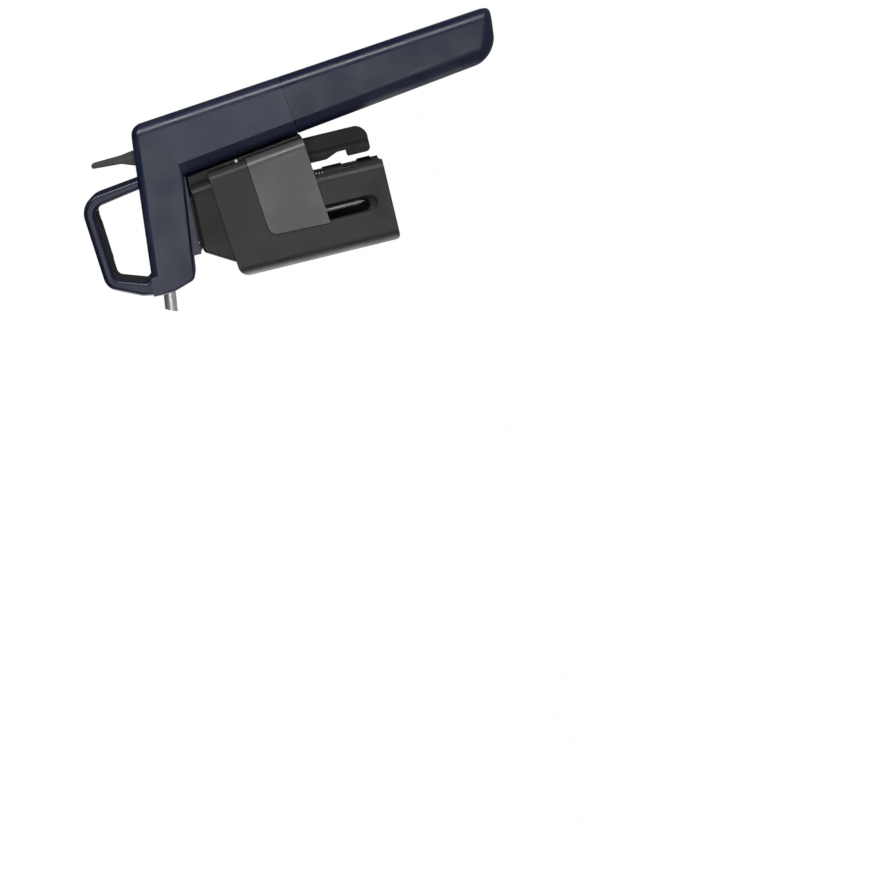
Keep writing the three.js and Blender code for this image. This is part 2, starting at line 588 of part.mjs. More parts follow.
function addSpout() {
  const tube = pipe(SPOUT_DIAMETER / 2, SPOUT_BORE / 2, -SPOUT_IN, SPOUT_OUT + SPOUT_DIAMETER);
  const slant = along(box(-SPOUT_OUT, SPOUT_OUT, -SPOUT_OUT, SPOUT_OUT, 0, SPOUT_OUT), 0, SPOUT_OUT,
    -Math.sin(SPOUT_MOUTH_CUT), Math.cos(SPOUT_MOUTH_CUT));
  add(dispenser, 'spout', spoutPlaced(cut(tube, slant)), STEEL());
  add(dispenser, 'spout_seal', spoutPlaced(pipe(SPOUT_DIAMETER / 2, SPOUT_BORE / 2,
    -SPOUT_IN - SPOUT_SEAL_LENGTH - SEAT_GAP, -SPOUT_IN - SEAT_GAP)), RUBBER());
}

function addTrigger() {
  const half = TRIGGER_ROOT_THICKNESS / 2;
  const tip = TRIGGER_X + half / 4;
  const waist = TRIGGER_X + half / 5;
  const boss = TRIGGER_BOSS_RADIUS;
  const lever = sideSolid(rounded([
    [tip - TRIGGER_TIP_THICKNESS / 2, TRIGGER_TIP_HEIGHT, TRIGGER_TIP_THICKNESS / 3],
    [waist - TRIGGER_WAIST_THICKNESS / 2, TRIGGER_WAIST_HEIGHT, boss],
    [TRIGGER_X - half, TRIGGER_ROOT_HEIGHT, boss / 2], [TRIGGER_X - half, valveLine(TRIGGER_X) + half],
    [TRIGGER_X - half + RUNNING_GAP, valveLine(TRIGGER_X) - half],
    [TRIGGER_X - boss, TRIGGER_PIVOT_HEIGHT], [TRIGGER_X - boss, TRIGGER_PIVOT_HEIGHT - boss, boss],
    [TRIGGER_X + boss, TRIGGER_PIVOT_HEIGHT - boss, boss], [TRIGGER_X + boss, TRIGGER_PIVOT_HEIGHT],
    [TRIGGER_X + half, TRIGGER_ROOT_HEIGHT, boss],
    [waist + TRIGGER_WAIST_THICKNESS / 2, TRIGGER_WAIST_HEIGHT, boss],
    [tip + TRIGGER_TIP_THICKNESS / 2, TRIGGER_TIP_HEIGHT, TRIGGER_TIP_THICKNESS / 3],
  ]), TRIGGER_WIDTH);
  const bore = crossRod(TRIGGER_PIN_DIAMETER + SEAT_GAP * 2, TRIGGER_X, TRIGGER_PIVOT_HEIGHT, -TRIGGER_WIDTH,
    TRIGGER_WIDTH);
  add(dispenser, 'trigger', cut(lever, bore), CHARCOAL());
  add(dispenser, 'trigger_pin', crossRod(TRIGGER_PIN_DIAMETER, TRIGGER_X, TRIGGER_PIVOT_HEIGHT,
    -TRIGGER_PIN_LENGTH / 2 + SEAT_GAP, ARM_DEPTH / 2 - SEAT_GAP), STEEL());
}

// Places a solid built about Z on the valve's axis, running towards the needle from the trigger slot
function valvePlaced(solid) {
  return along(solid, slotStart, valveLine(slotStart), -Math.cos(HEAD_TOP_SLOPE), Math.sin(HEAD_TOP_SLOPE));
}

function addValve() {
  const end = (slotStart - VALVE_END_X) / Math.cos(HEAD_TOP_SLOPE);
  const start = end - VALVE_LENGTH;
  const springStart = start + VALVE_WALL + RUNNING_GAP * 3 + STEM_FLANGE_LENGTH;
  const springEnd = end - VALVE_WALL;
  const body = turned([[STEM_DIAMETER / 2 + RUNNING_GAP, start], [VALVE_DIAMETER / 2, start],
    [VALVE_DIAMETER / 2, end],
    [STEM_DIAMETER / 2 + RUNNING_GAP, end], [STEM_DIAMETER / 2 + RUNNING_GAP, springEnd],
    [VALVE_BORE / 2, springEnd], [VALVE_BORE / 2, start + VALVE_WALL],
    [STEM_DIAMETER / 2 + RUNNING_GAP, start + VALVE_WALL], [STEM_DIAMETER / 2 + RUNNING_GAP, start]]);
  const port = moved(rod(GAS_LINK_BORE, 0, VALVE_DIAMETER, SMALL_STEPS), GAS_LINK_END_X, 0,
    valveLine(GAS_LINK_END_X) - VALVE_DIAMETER);
  add(dispenser, 'valve_body', cut(valvePlaced(body), port), BRASS());
  const nose = TRIGGER_X - TRIGGER_ROOT_THICKNESS / 2 - SEAT_GAP - slotStart;
  const flange = start + VALVE_WALL + SEAT_GAP;
  add(dispenser, 'valve_stem', valvePlaced(turned([[0, -nose], [STEM_DIAMETER / 4, -nose],
    [STEM_DIAMETER / 2, STEM_DIAMETER / 4 - nose], [STEM_DIAMETER / 2, flange],
      [STEM_FLANGE_DIAMETER / 2, flange],
    [STEM_FLANGE_DIAMETER / 2, flange + STEM_FLANGE_LENGTH],
      [STEM_DIAMETER / 2, flange + STEM_FLANGE_LENGTH],
    [STEM_DIAMETER / 2, springEnd - VALVE_WALL], [0, springEnd - VALVE_WALL]], SMALL_STEPS)), STEEL());
  add(dispenser, 'valve_spring', valvePlaced(spring((STEM_DIAMETER + VALVE_BORE) / 4, VALVE_SPRING_WIRE,
    VALVE_SPRING_COILS, springStart, springEnd)), STEEL());
  const link = gasLink((length, from) => pipe(GAS_LINK_DIAMETER / 2, GAS_LINK_BORE / 2, from, length,
    SMALL_STEPS),
    -RUNNING_GAP);
  add(dispenser, 'gas_link_tube', link.solid, BRASS());
}

function addNeedle() {
  const top = hubTop - HUB_NUT_LENGTH;
  const tubeFoot = NEEDLE_POINT_LENGTH + NEEDLE_PORT_UP - NEEDLE_TIP;
  const blank = turned([[0, -NEEDLE_TIP], [NEEDLE_DIAMETER / 2, NEEDLE_POINT_LENGTH - NEEDLE_TIP],
    [NEEDLE_DIAMETER / 2, top], [NEEDLE_BORE / 2, top], [NEEDLE_BORE / 2, tubeFoot - NEEDLE_PORT_LENGTH],
    [0, tubeFoot - NEEDLE_PORT_LENGTH]], SMALL_STEPS);
  const port = box(0, NEEDLE_DIAMETER, -NEEDLE_BORE / 3, NEEDLE_BORE / 3, tubeFoot - NEEDLE_PORT_LENGTH / 2,
    tubeFoot + NEEDLE_PORT_LENGTH / 2);
  add(dispenser, 'needle', cut(blank, port), STEEL());
  const nutTop = BOSS_FLOOR + HUB_NUT_LENGTH;
  const inner = NEEDLE_DIAMETER / 2 + SEAT_GAP;
  const shank = pipe(HUB_DIAMETER / 2, inner, BOSS_FLOOR + SEAT_GAP, hubTop);
  const nut = pipe(HUB_NUT_DIAMETER / 2, inner, BOSS_FLOOR + SEAT_GAP, nutTop, 6);
  add(dispenser, 'needle_hub', join(shank, nut), BRASS());
}

function addGasTrain() {
  const socket = CAPSULE_NECK_DIAMETER / 2 + RUNNING_GAP;
  const floor = REGULATOR_SOCKET - REGULATOR_FOOT;
  const regulator = turned([[PIERCER_DIAMETER / 4, -REGULATOR_TOP],
    [PIERCER_DIAMETER / 4, floor + PIERCER_LENGTH],
    [PIERCER_DIAMETER / 2 + SEAT_GAP, floor + PIERCER_LENGTH], [PIERCER_DIAMETER / 2 + SEAT_GAP, floor],
    [socket, floor], [socket, -REGULATOR_FOOT], [REGULATOR_DIAMETER / 2, -REGULATOR_FOOT],
    [REGULATOR_DIAMETER / 2, -REGULATOR_TOP], [PIERCER_DIAMETER / 4, -REGULATOR_TOP]]);
  const linkSeat = moved(rod(GAS_LINK_BORE, -OVERRUN / 2, OVERRUN, SMALL_STEPS), -GAS_LINK_OFFSET, 0,
    -REGULATOR_TOP);
  add(arm, 'regulator_body', cut(regulator, linkSeat), BRASS());
  add(arm, 'piercing_pin', turned([[PIERCER_DIAMETER / 8, floor + PIERCER_LENGTH - SEAT_GAP],
    [PIERCER_DIAMETER / 8, floor - RUNNING_GAP], [PIERCER_DIAMETER / 4, floor],
    [PIERCER_DIAMETER / 2, floor + RUNNING_GAP], [PIERCER_DIAMETER / 2, floor + PIERCER_LENGTH - SEAT_GAP],
    [PIERCER_DIAMETER / 8, floor + PIERCER_LENGTH - SEAT_GAP]], SMALL_STEPS), STEEL());
  const neckTop = floor - RUNNING_GAP - SEAT_GAP - CUSHION_THICKNESS / 2;
  add(arm, 'capsule_seal', pipe(socket - SEAT_GAP, PIERCER_DIAMETER / 2 + SEAT_GAP, neckTop + SEAT_GAP,
    floor - SEAT_GAP / 2, SMALL_STEPS), RUBBER());
  const shoulder = neckTop - CAPSULE_NECK_LENGTH;
  const body = CAPSULE_DIAMETER / 2;
  const foot = neckTop - CAPSULE_LENGTH;
  const domed = (share) => [body * Math.cos(share * Math.PI / 2),
    foot + body * (1 - Math.sin(share * Math.PI / 2))];
  add(arm, 'gas_capsule', turned([[0, foot], domed(0.75), domed(0.5), domed(0.25), domed(0),
    [body, shoulder - CAPSULE_SHOULDER], [(body + CAPSULE_NECK_DIAMETER) / 2,
      shoulder - CAPSULE_SHOULDER / 3],
    [CAPSULE_NECK_DIAMETER / 2, shoulder], [CAPSULE_NECK_DIAMETER / 2, neckTop], [0, neckTop]]), STEEL());
  add(arm, 'thread_ring', pipe(THREAD_DIAMETER / 2, THREAD_DIAMETER / 2 - THREAD_WALL,
    -ARM_SEAM - THREAD_IN_CUP, THREAD_IN_HEAD - ARM_SEAM), STEEL());

  const cushionTop = foot - SEAT_GAP;
  add(arm, 'capsule_cushion', cut(pipe(body, CUSHION_HOLE / 2, cushionTop - CUSHION_THICKNESS,
    cushionTop)), RUBBER());
  const bore = body + SEAT_GAP;
  const cushionFoot = cushionTop - CUSHION_THICKNESS - SEAT_GAP;
  const hollow = turned([[0, CUP_FLOOR - ARM_LENGTH + CUP_RELIEF_DIAMETER / 4],
    [CUP_RELIEF_DIAMETER / 2, CUP_FLOOR - ARM_LENGTH + CUP_RELIEF_DIAMETER / 4],
      [CUP_RELIEF_DIAMETER / 2, cushionFoot],
    [bore, cushionFoot], [bore, -ARM_SEAM - THREAD_IN_CUP - SEAT_GAP],
    [THREAD_DIAMETER / 2 + SEAT_GAP, -ARM_SEAM - THREAD_IN_CUP - SEAT_GAP],
    [THREAD_DIAMETER / 2 + SEAT_GAP, OVERRUN - ARM_SEAM], [0, OVERRUN - ARM_SEAM]]);
  const reach = ARM_WIDTH;
  const half = ARM_WIDTH / 2;
  const tipHalf = half - ARM_LENGTH * Math.tan(ARM_TAPER);
  const tip = rounded([[-tipHalf, ARM_TIP_RISE - ARM_LENGTH, ARM_END_ROUND],
    [tipHalf, -ARM_LENGTH, ARM_TIP_ROUND],
    [half, 0], [-half, 0]]);
  const cheeks = rounded([[-ARM_DEPTH / 2, -ARM_LENGTH, ARM_CHEEK_ROUND],
    [ARM_DEPTH / 2, -ARM_LENGTH, ARM_CHEEK_ROUND],
    [ARM_DEPTH / 2, 0], [-ARM_DEPTH / 2, 0]]);
  const cheekSolid = placed(sideSolid(cheeks, reach * 2), new THREE.Matrix4().makeRotationZ(Math.PI / 2));
  const above = box(-reach, reach, -reach, reach, -ARM_SEAM - SEAT_GAP / 2, reach);
  add(arm, 'capsule_cup', cut(common(armForm(), sideSolid(tip, reach * 2), cheekSolid), above, hollow),
    NAVY());
}

function addRail() {
  const top = (x) => bossFloor(x) - SEAT_GAP;
  const seat = armLine(-1, top(RAIL_OUTER_X)) - SEAT_GAP;
  const meet = (ARM_FOOT_X - ARM_WIDTH / 2 / Math.cos(ARM_LEAN + ARM_TAPER) - SEAT_GAP - RAIL_OUTER_X)
    / Math.tan(ARM_LEAN + ARM_TAPER);
  const hook = RAIL_INNER_X - RAIL_HOOK_REACH;
  const notch = RAIL_INNER_X + RAIL_NOTCH_DEPTH;
  const outline = [[RAIL_INNER_X, top(RAIL_INNER_X)], [seat, top(seat)], [RAIL_OUTER_X, meet],
    [RAIL_OUTER_X, -RAIL_END, RAIL_END_ROUND], [hook, -RAIL_END, RAIL_NOTCH_DEPTH],
    [hook, -RAIL_NOTCH_FOOT], [notch, -RAIL_NOTCH_FOOT],
    [notch, -RAIL_NOTCH_FOOT + RAIL_NOTCH_DEPTH * 2], [RAIL_INNER_X, -RAIL_NOTCH_TOP]];
  const blade = sideSolid(rounded(outline.reverse()), RAIL_DEPTH);
  const tenon = box(tenonX, tenonX + RAIL_TENON_LENGTH, -RAIL_TENON_DEPTH / 2, RAIL_TENON_DEPTH / 2, 0,
    tenonTop);
  const floor = RAIL_DEPTH / 2 - RAIL_GROOVE_DEPTH;
  const [left, right] = [RAIL_GROOVE_X - RAIL_GROOVE_WIDTH / 2, RAIL_GROOVE_X + RAIL_GROOVE_WIDTH / 2];
  const grooves = [box(left, right, floor, RAIL_DEPTH, -RAIL_END - OVERRUN, TONGUE_TOP + OVERRUN),
    box(left, right, -RAIL_DEPTH, -floor, -RAIL_END - OVERRUN, TONGUE_TOP + OVERRUN)];
  const pinBore = crossRod(CROSS_PIN_DIAMETER + SEAT_GAP * 2, crossPinX, crossPinHeight, -RAIL_DEPTH,
    RAIL_DEPTH);
  add(dispenser, 'guide_rail', cut(join(blade, tenon), ...grooves, pinBore), BLACK());
  add(dispenser, 'rail_cross_pin', crossRod(CROSS_PIN_DIAMETER, crossPinX, crossPinHeight,
    SEAT_GAP - BOSS_DEPTH / 2, ARM_DEPTH / 2 - SEAT_GAP), STEEL());
}

// A prism that follows the leaning tail of the clamp, with its outer edges rounded
function tailPrism(depth, radius, inset) {
  const reach = SHELL_FOOT * 2;
  const section = rounded([[-reach, -depth / 2], [0, -depth / 2, radius], [0, depth / 2, radius],
    [-reach, depth / 2]]);
  return along(planSolid(section, -reach, reach), SHELL_TAIL_X - inset, 0, -Math.sin(SHELL_TAIL_LEAN),
    Math.cos(SHELL_TAIL_LEAN));
}

const tailFootX = tailLine(-PLATE_FOOT_TAIL);
const plateFoot = (x) => THREE.MathUtils.mapLinear(x, -PLATE_FOOT_X, tailFootX, -PLATE_FOOT_NOSE,
  -PLATE_FOOT_TAIL);

// The upper, wide part of the shells: the outer face moved in by an inset
function upperForm(inset) {
  const reach = SHELL_FOOT * 2;
  const half = SHELL_DEPTH / 2 - inset;
  const nose = inset - SHELL_NOSE_X;
  const round = SHELL_NOSE_ROUND - inset;
  const nosePrism = planSolid(rounded([[nose, -half, round], [reach, -half], [reach, half],
    [nose, half, round]]),
    -reach, reach);
  return common(nosePrism, tailPrism(SHELL_DEPTH - 2 * inset, SHELL_TAIL_ROUND - inset, inset));
}

const seamCorners = [[-SHELL_NOSE_X, seamLine(-SHELL_NOSE_X), SHELL_SHOULDER_ROUND],
  [tailLine(seamLine(SHELL_TAIL_X)), seamLine(SHELL_TAIL_X)]];

function shellForm() {
  const reach = SHELL_FOOT * 2;
  const half = SHELL_DEPTH / 2;
  const upper = common(upperForm(0), sideSolid(rounded([seamCorners[0],
    [-SHELL_NOSE_X, plateFoot(-SHELL_NOSE_X)],
    [reach, plateFoot(reach)], [reach, seamLine(reach)]].reverse()), SHELL_DEPTH));
  const skirtSection = rounded([[-SHELL_NOSE_X, -half, SHELL_NOSE_ROUND],
    [SHELL_HEEL_X, -half, SHELL_HEEL_ROUND],
    [SHELL_HEEL_X, half, SHELL_HEEL_ROUND], [-SHELL_NOSE_X, half, SHELL_NOSE_ROUND]]);
  const skirt = common(planSolid(skirtSection, -SHELL_FOOT, -PLATE_FOOT_TAIL), sideSolid(rounded([
    [-SHELL_NOSE_X, 0], [-SHELL_NOSE_X, -SHELL_FOOT, SHELL_FOOT_ROUND], [SHELL_HEEL_X, -SHELL_FOOT],
    [SHELL_HEEL_X, 0]]), SHELL_DEPTH));
  const wall = SHELL_WALL;
  const roofX = -COLLAR_NOSE_FOOT + SEAT_GAP;
  const insideUpper = common(upperForm(wall), sideSolid(rounded([[roofX, SHELL_FOOT],
    [roofX, seamLine(roofX) - wall],
    [wall - SHELL_NOSE_X, seamLine(-SHELL_NOSE_X) - wall, SHELL_SHOULDER_ROUND - wall],
    [wall - SHELL_NOSE_X, plateFoot(-SHELL_NOSE_X) + wall], [reach, plateFoot(reach) + wall],
      [reach, SHELL_FOOT]]),
  SHELL_DEPTH));
  const skirtTop = -PLATE_FOOT_TAIL + wall;
  const insideSkirt = planSolid(rounded([[wall - SHELL_NOSE_X, wall - half, SHELL_NOSE_ROUND - wall],
    [SHELL_HEEL_X - wall, wall - half, SHELL_HEEL_ROUND - wall],
    [SHELL_HEEL_X - wall, half - wall, SHELL_HEEL_ROUND - wall],
    [wall - SHELL_NOSE_X, half - wall, SHELL_NOSE_ROUND - wall]]), -reach, skirtTop);
  return cut(join(upper, skirt), insideUpper, insideSkirt);
}

const hinged = (solid) => moved(solid, HINGE_X, -HINGE_Y, 0);
const barrel = (top, length, gap) => hinged(rod(HINGE_BARREL_DIAMETER / 2 + gap, top - length - gap,
  top + gap, PIN_STEPS));
const web = (y0, y1, top, length) => box(HINGE_X - SHELL_WALL / 2, HINGE_X + SHELL_WALL / 2, y0, y1,
  top - length, top);

// All that lies below the foot of the plates, lowered by a gap
function belowPlate(gap) {
  const reach = SHELL_FOOT * 2;
  return sideSolid(rounded([[-reach, plateFoot(-reach) - gap], [-reach, -reach * 2], [reach, -reach * 2],
    [reach, plateFoot(reach) - gap]]), SHELL_DEPTH * 2);
}

function plateOutline(gap) {
  const top = (x) => THREE.MathUtils.mapLinear(x, -PLATE_NOSE_X, SHELL_TAIL_X, -PLATE_TOP_NOSE,
    -PLATE_TOP_TAIL);
  const past = tailFootX + OVERRUN;
  return rounded([[-PLATE_NOSE_X - gap, top(-PLATE_NOSE_X) + gap, PLATE_ROUND],
    [-PLATE_FOOT_X - gap, plateFoot(-PLATE_FOOT_X) - OVERRUN], [past, plateFoot(past) - OVERRUN],
    [past, top(past) + gap]]);
}

// The shell on the near side; the far one is its mirror image
function nearShell() {
  const reach = SHELL_FOOT * 2;
  const back = SPINE_DEPTH / 2;
  const slot = sideSolid(rounded([[SLOT_X - SLOT_WIDTH / 2, -SLOT_TOP],
    [SLOT_X - SLOT_WIDTH / 2, -SLOT_FOOT, SLOT_WIDTH / 2], [SLOT_X + SLOT_WIDTH / 2, -SLOT_FOOT,
      SLOT_WIDTH / 2],
    [SLOT_X + SLOT_WIDTH / 2, -SLOT_TOP]]), SHELL_DEPTH * 2);
  const recess = cut(sideSolid(plateOutline(SEAT_GAP), SHELL_DEPTH * 2),
    upperForm(PLATE_THICKNESS - PLATE_PROUD + SEAT_GAP), belowPlate(SEAT_GAP));
  const wideFoot = box(SHELL_HEEL_X - SHELL_HEEL_ROUND, reach, -back - SHELL_BACK_GAP, 0, -PLATE_FOOT_NOSE,
    reach);
  const skirtFoot = box(HINGE_X - HINGE_BARREL_DIAMETER, reach, -back - SHELL_HEEL_GAP, 0, -reach, reach);
  const farSide = box(-reach, reach, -SHELL_SPLIT_GAP / 2, reach, -reach, reach);
  const [first, second] = HINGE_KNUCKLE_TOPS;
  const reliefs = [[-reach, second - HINGE_KNUCKLE], [second, first - HINGE_KNUCKLE], [first, reach]];
  const bare = cut(shellForm(), slot, recess, wideFoot, skirtFoot, farSide,
    ...reliefs.map(([from, to]) => hinged(rod(HINGE_BARREL_DIAMETER / 2 + RUNNING_GAP, from, to,
      PIN_STEPS))));
  const knuckles = HINGE_KNUCKLE_TOPS.flatMap((top) => [barrel(top, HINGE_KNUCKLE, 0),
    web(SHELL_WALL - SHELL_DEPTH / 2, -HINGE_Y, top, HINGE_KNUCKLE)]);
  return cut(join(bare, ...knuckles), hinged(rod(HINGE_PIN_DIAMETER / 2 + SEAT_GAP, -reach, reach,
    PIN_STEPS)));
}

function nearPlate() {
  const reach = SHELL_FOOT * 2;
  const band = cut(common(upperForm(-PLATE_PROUD), sideSolid(plateOutline(0), SHELL_DEPTH * 2)),
    upperForm(PLATE_THICKNESS - PLATE_PROUD));
  return cut(band, box(-reach, reach, -SPINE_DEPTH / 2 - SHELL_BACK_GAP, reach, -reach, reach),
    belowPlate(0));
}

function nearPad(hasWindow) {
  const outer = SHELL_DEPTH / 2 - SHELL_WALL - SEAT_GAP;
  const half = JAW_PAD_WIDTH / 2;
  const window = SLOT_WIDTH / 2 + RUNNING_GAP;
  const block = cut(box(-half, half, -outer, -JAW_PAD_MOUTH, -JAW_PAD_FOOT, -JAW_PAD_TOP),
    rod(JAW_GRIP / 2, -SHELL_FOOT, 0));
  return hasWindow ? cut(block, box(SLOT_X - window, SLOT_X + window, -SHELL_DEPTH, 0, -SLOT_FOOT,
    0)) : block;
}

function addShells() {
  const pin = hinged(rod(HINGE_PIN_DIAMETER / 2, HINGE_LUG_TOPS[2] - HINGE_LUG, HINGE_LUG_TOPS[0],
    PIN_STEPS));
  const springTop = HINGE_LUG_TOPS[1] - HINGE_LUG - SEAT_GAP;
  const coil = hinged(spring((HINGE_PIN_DIAMETER + HINGE_BARREL_DIAMETER) / 4, HINGE_SPRING_WIRE,
    HINGE_SPRING_COILS, HINGE_KNUCKLE_TOPS[1] + SEAT_GAP, springTop));
  const near = [['clamp_shell', nearShell(), CHARCOAL], ['side_plate', nearPlate(), GREY],
    ['hinge_pin', pin, STEEL], ['hinge_spring', coil, STEEL]];
  near.forEach(([name, solid, material]) => {
    add(dispenser, `${name}_near`, solid, material());
    add(dispenser, `${name}_far`, mirrored(solid), material());
  });
  add(dispenser, 'jaw_pad_near', nearPad(true), RUBBER());
  add(dispenser, 'jaw_pad_far', mirrored(nearPad(false)), RUBBER());
}

const collarTop = tilted(COLLAR_TOP);
const spineTop = tilted(COLLAR_TOP + SEAT_GAP + GASKET_THICKNESS);

// A rivet in the near side of the spine, or its bore, grown by a gap
const nearRivet = (gap) => crossRod(RIVET_DIAMETER + 2 * gap, RIVET_X, -RIVET_DROP,
  -SPINE_DEPTH / 2 - RIVET_PROUD, RIVET_LENGTH - RIVET_PROUD - SPINE_DEPTH / 2 + gap);

function addSpine() {
  const reach = SHELL_FOOT * 2;
  const back = (z) => armLine(-1, z) - SPINE_GAP;
  const plateX = SPINE_INNER_X + SPINE_PLATE;
  const topEnd = back(COLLAR_TOP);
  const blank = sideSolid(rounded([[SPINE_INNER_X, spineTop(SPINE_INNER_X)], [SPINE_INNER_X, -SPINE_FOOT],
    [SPINE_INNER_X + SPINE_FOOT_PLATE, -SPINE_FOOT, SPINE_GAP / 2],
    [plateX, -SPINE_STEP - SPINE_GAP * 2, SPINE_GAP], [RAIL_INNER_X, -SPINE_STEP],
    [back(-SPINE_STEP), -SPINE_STEP, SPINE_GAP * 2], [topEnd, spineTop(topEnd)]]), SPINE_DEPTH);
  const half = RAIL_DEPTH / 2 + RUNNING_GAP;
  const floor = RAIL_INNER_X - RAIL_HOOK_REACH - RUNNING_GAP;
  const channel = join(box(floor, RAIL_OUTER_X + RUNNING_GAP, -half, half, -reach, reach),
    box(RAIL_OUTER_X, reach, -half, half, -SPINE_STEP + SPINE_BRIDGE, reach));
  const tip = RAIL_DEPTH / 2 - RAIL_GROOVE_DEPTH + RUNNING_GAP;
  const tongues = [[tip, half + SPINE_GAP], [-half - SPINE_GAP, -tip]].map(([y0, y1]) => box(
    RAIL_GROOVE_X - TONGUE_WIDTH / 2, RAIL_GROOVE_X + TONGUE_WIDTH / 2, y0, y1,
    -SPINE_STEP + SPINE_GAP, TONGUE_TOP));
  const nearLugs = HINGE_LUG_TOPS.flatMap((top) => [barrel(top, HINGE_LUG, 0),
    web(-HINGE_Y, -SPINE_DEPTH / 2 + SPINE_GAP, top, HINGE_LUG)]);
  const nearBore = join(hinged(rod(HINGE_PIN_DIAMETER / 2 + SEAT_GAP, -reach, reach, PIN_STEPS)),
    nearRivet(SEAT_GAP));
  const body = cut(join(cut(blank, channel), ...tongues, ...nearLugs, ...nearLugs.map(mirrored)),
    nearBore, mirrored(nearBore));
  add(dispenser, 'clamp_spine', body, BLACK());
  add(dispenser, 'spine_rivet_near', nearRivet(0), STEEL());
  add(dispenser, 'spine_rivet_far', mirrored(nearRivet(0)), STEEL());
}

// The collar's top with saw-toothed edges
function gasketOutline() {
  const half = COLLAR_DEPTH / 2 - GASKET_INSET;
  const start = GASKET_INSET - COLLAR_NOSE_TOP;
  const end = tailLine(COLLAR_TOP) - COLLAR_TAIL_STEP - COLLAR_ROUND;
  const edge = Array.from({ length: GASKET_RIBS * 2 + 1 }, (_, i) => [
    THREE.MathUtils.lerp(start, end, i / (GASKET_RIBS * 2)), half - (i % 2) * GASKET_RIB_DEPTH]);
  return rounded([...edge.map(([x, y]) => [x, -y]), ...edge.reverse()]);
}

function addCollar() {
  const reach = SHELL_FOOT;
  const seam = (x) => seamLine(x) + SEAT_GAP;
  const noseFoot = THREE.MathUtils.mapLinear(0, collarTop(-COLLAR_NOSE_TOP), seam(-COLLAR_NOSE_FOOT),
    -COLLAR_NOSE_TOP, -COLLAR_NOSE_FOOT);
  const block = common(sideSolid(rounded([
    [-COLLAR_NOSE_TOP, collarTop(-COLLAR_NOSE_TOP), COLLAR_EDGE_ROUND * 2], [noseFoot, 0], [reach, 0],
    [reach, collarTop(reach)]]), COLLAR_DEPTH, COLLAR_EDGE_ROUND),
  sideSolid(rounded([[-reach, reach], [-reach, seam(-reach)], [reach, seam(reach)], [reach, reach]]),
    SHELL_DEPTH), tailPrism(COLLAR_DEPTH, COLLAR_ROUND, COLLAR_TAIL_STEP));
  const boss = rod(COLLAR_BOSS_DIAMETER / 2, GUIDE_TOP + SEAT_GAP, seam(COLLAR_BOSS_DIAMETER / 2));
  const spineNotch = (gap) => box(SPINE_INNER_X - gap, reach, -SPINE_DEPTH / 2 - gap,
    SPINE_DEPTH / 2 + gap, 0, reach);
  const needleBore = rod(NEEDLE_DIAMETER / 2 + RUNNING_GAP, 0, reach, SMALL_STEPS);
  const screws = [GUIDE_SCREW_Y, -GUIDE_SCREW_Y];
  const screwBores = screws.map((y) => moved(join(
    rod(GUIDE_SCREW_DIAMETER / 2 + SEAT_GAP, 0, LIP_PAD_THICKNESS + GUIDE_SCREW_LENGTH + SEAT_GAP * 2,
      SMALL_STEPS),
    rod(GUIDE_SCREW_HEAD / 2 + SEAT_GAP, 0, LIP_PAD_THICKNESS + GUIDE_SCREW_DIAMETER + SEAT_GAP * 2,
      SMALL_STEPS)),
  0, y, 0));
  const bushBore = rod(BUSH_DIAMETER / 2 + SEAT_GAP, COLLAR_TOP - BUSH_LENGTH - SEAT_GAP, reach);
  add(dispenser, 'clamp_collar', cut(join(block, boss), spineNotch(SEAT_GAP), needleBore, bushBore,
    ...screwBores),
    CHARCOAL());
  add(dispenser, 'needle_bush', pipe(BUSH_DIAMETER / 2, NEEDLE_DIAMETER / 2 + RUNNING_GAP,
    COLLAR_TOP - BUSH_LENGTH, COLLAR_TOP), BRASS());
  const gasket = moved(placed(planSolid(gasketOutline(), 0, GASKET_THICKNESS),
    new THREE.Matrix4().makeRotationY(COLLAR_TILT)), 0, 0, COLLAR_TOP + SEAT_GAP);
  add(dispenser, 'collar_gasket', cut(gasket, spineNotch(SEAT_GAP), rod(BUSH_DIAMETER / 2, 0, reach)),
    RUBBER());
  const padTop = LIP_PAD_THICKNESS + SEAT_GAP;
  const guide = turned([[NEEDLE_DIAMETER / 2 + RUNNING_GAP, padTop], [NECK_BORE / 2, padTop],
    [NECK_BORE / 2, -GUIDE_FOOT], [GUIDE_RADIUS, -GUIDE_FOOT], [GUIDE_RADIUS, GUIDE_TOP],
    [NEEDLE_DIAMETER / 2 + RUNNING_GAP, GUIDE_TOP], [NEEDLE_DIAMETER / 2 + RUNNING_GAP, padTop]]);
  add(dispenser, 'neck_guide', cut(guide, ...screwBores), BLACK());
  add(dispenser, 'lip_pad', pipe(NECK_BORE / 2 - SEAT_GAP, LIP_PAD_HOLE / 2, 0, LIP_PAD_THICKNESS),
    RUBBER());
  screws.forEach((y, i) => add(dispenser, `guide_screw_${i + 1}`, moved(join(
    rod(GUIDE_SCREW_DIAMETER / 2, padTop, padTop + GUIDE_SCREW_LENGTH, SMALL_STEPS),
    rod(GUIDE_SCREW_HEAD / 2, padTop, padTop + GUIDE_SCREW_DIAMETER, SMALL_STEPS)), 0, y, 0), STEEL()));
}

add(dispenser, 'head_body', headBody(), NAVY());
addLoop();
addSpout();
addTrigger();
addValve();
addNeedle();
addGasTrain();
addRail();
addCollar();
addSpine();
addShells();

export default dispenser;
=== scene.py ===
import json
import math

import bmesh
import bpy
from mathutils import Matrix, Vector


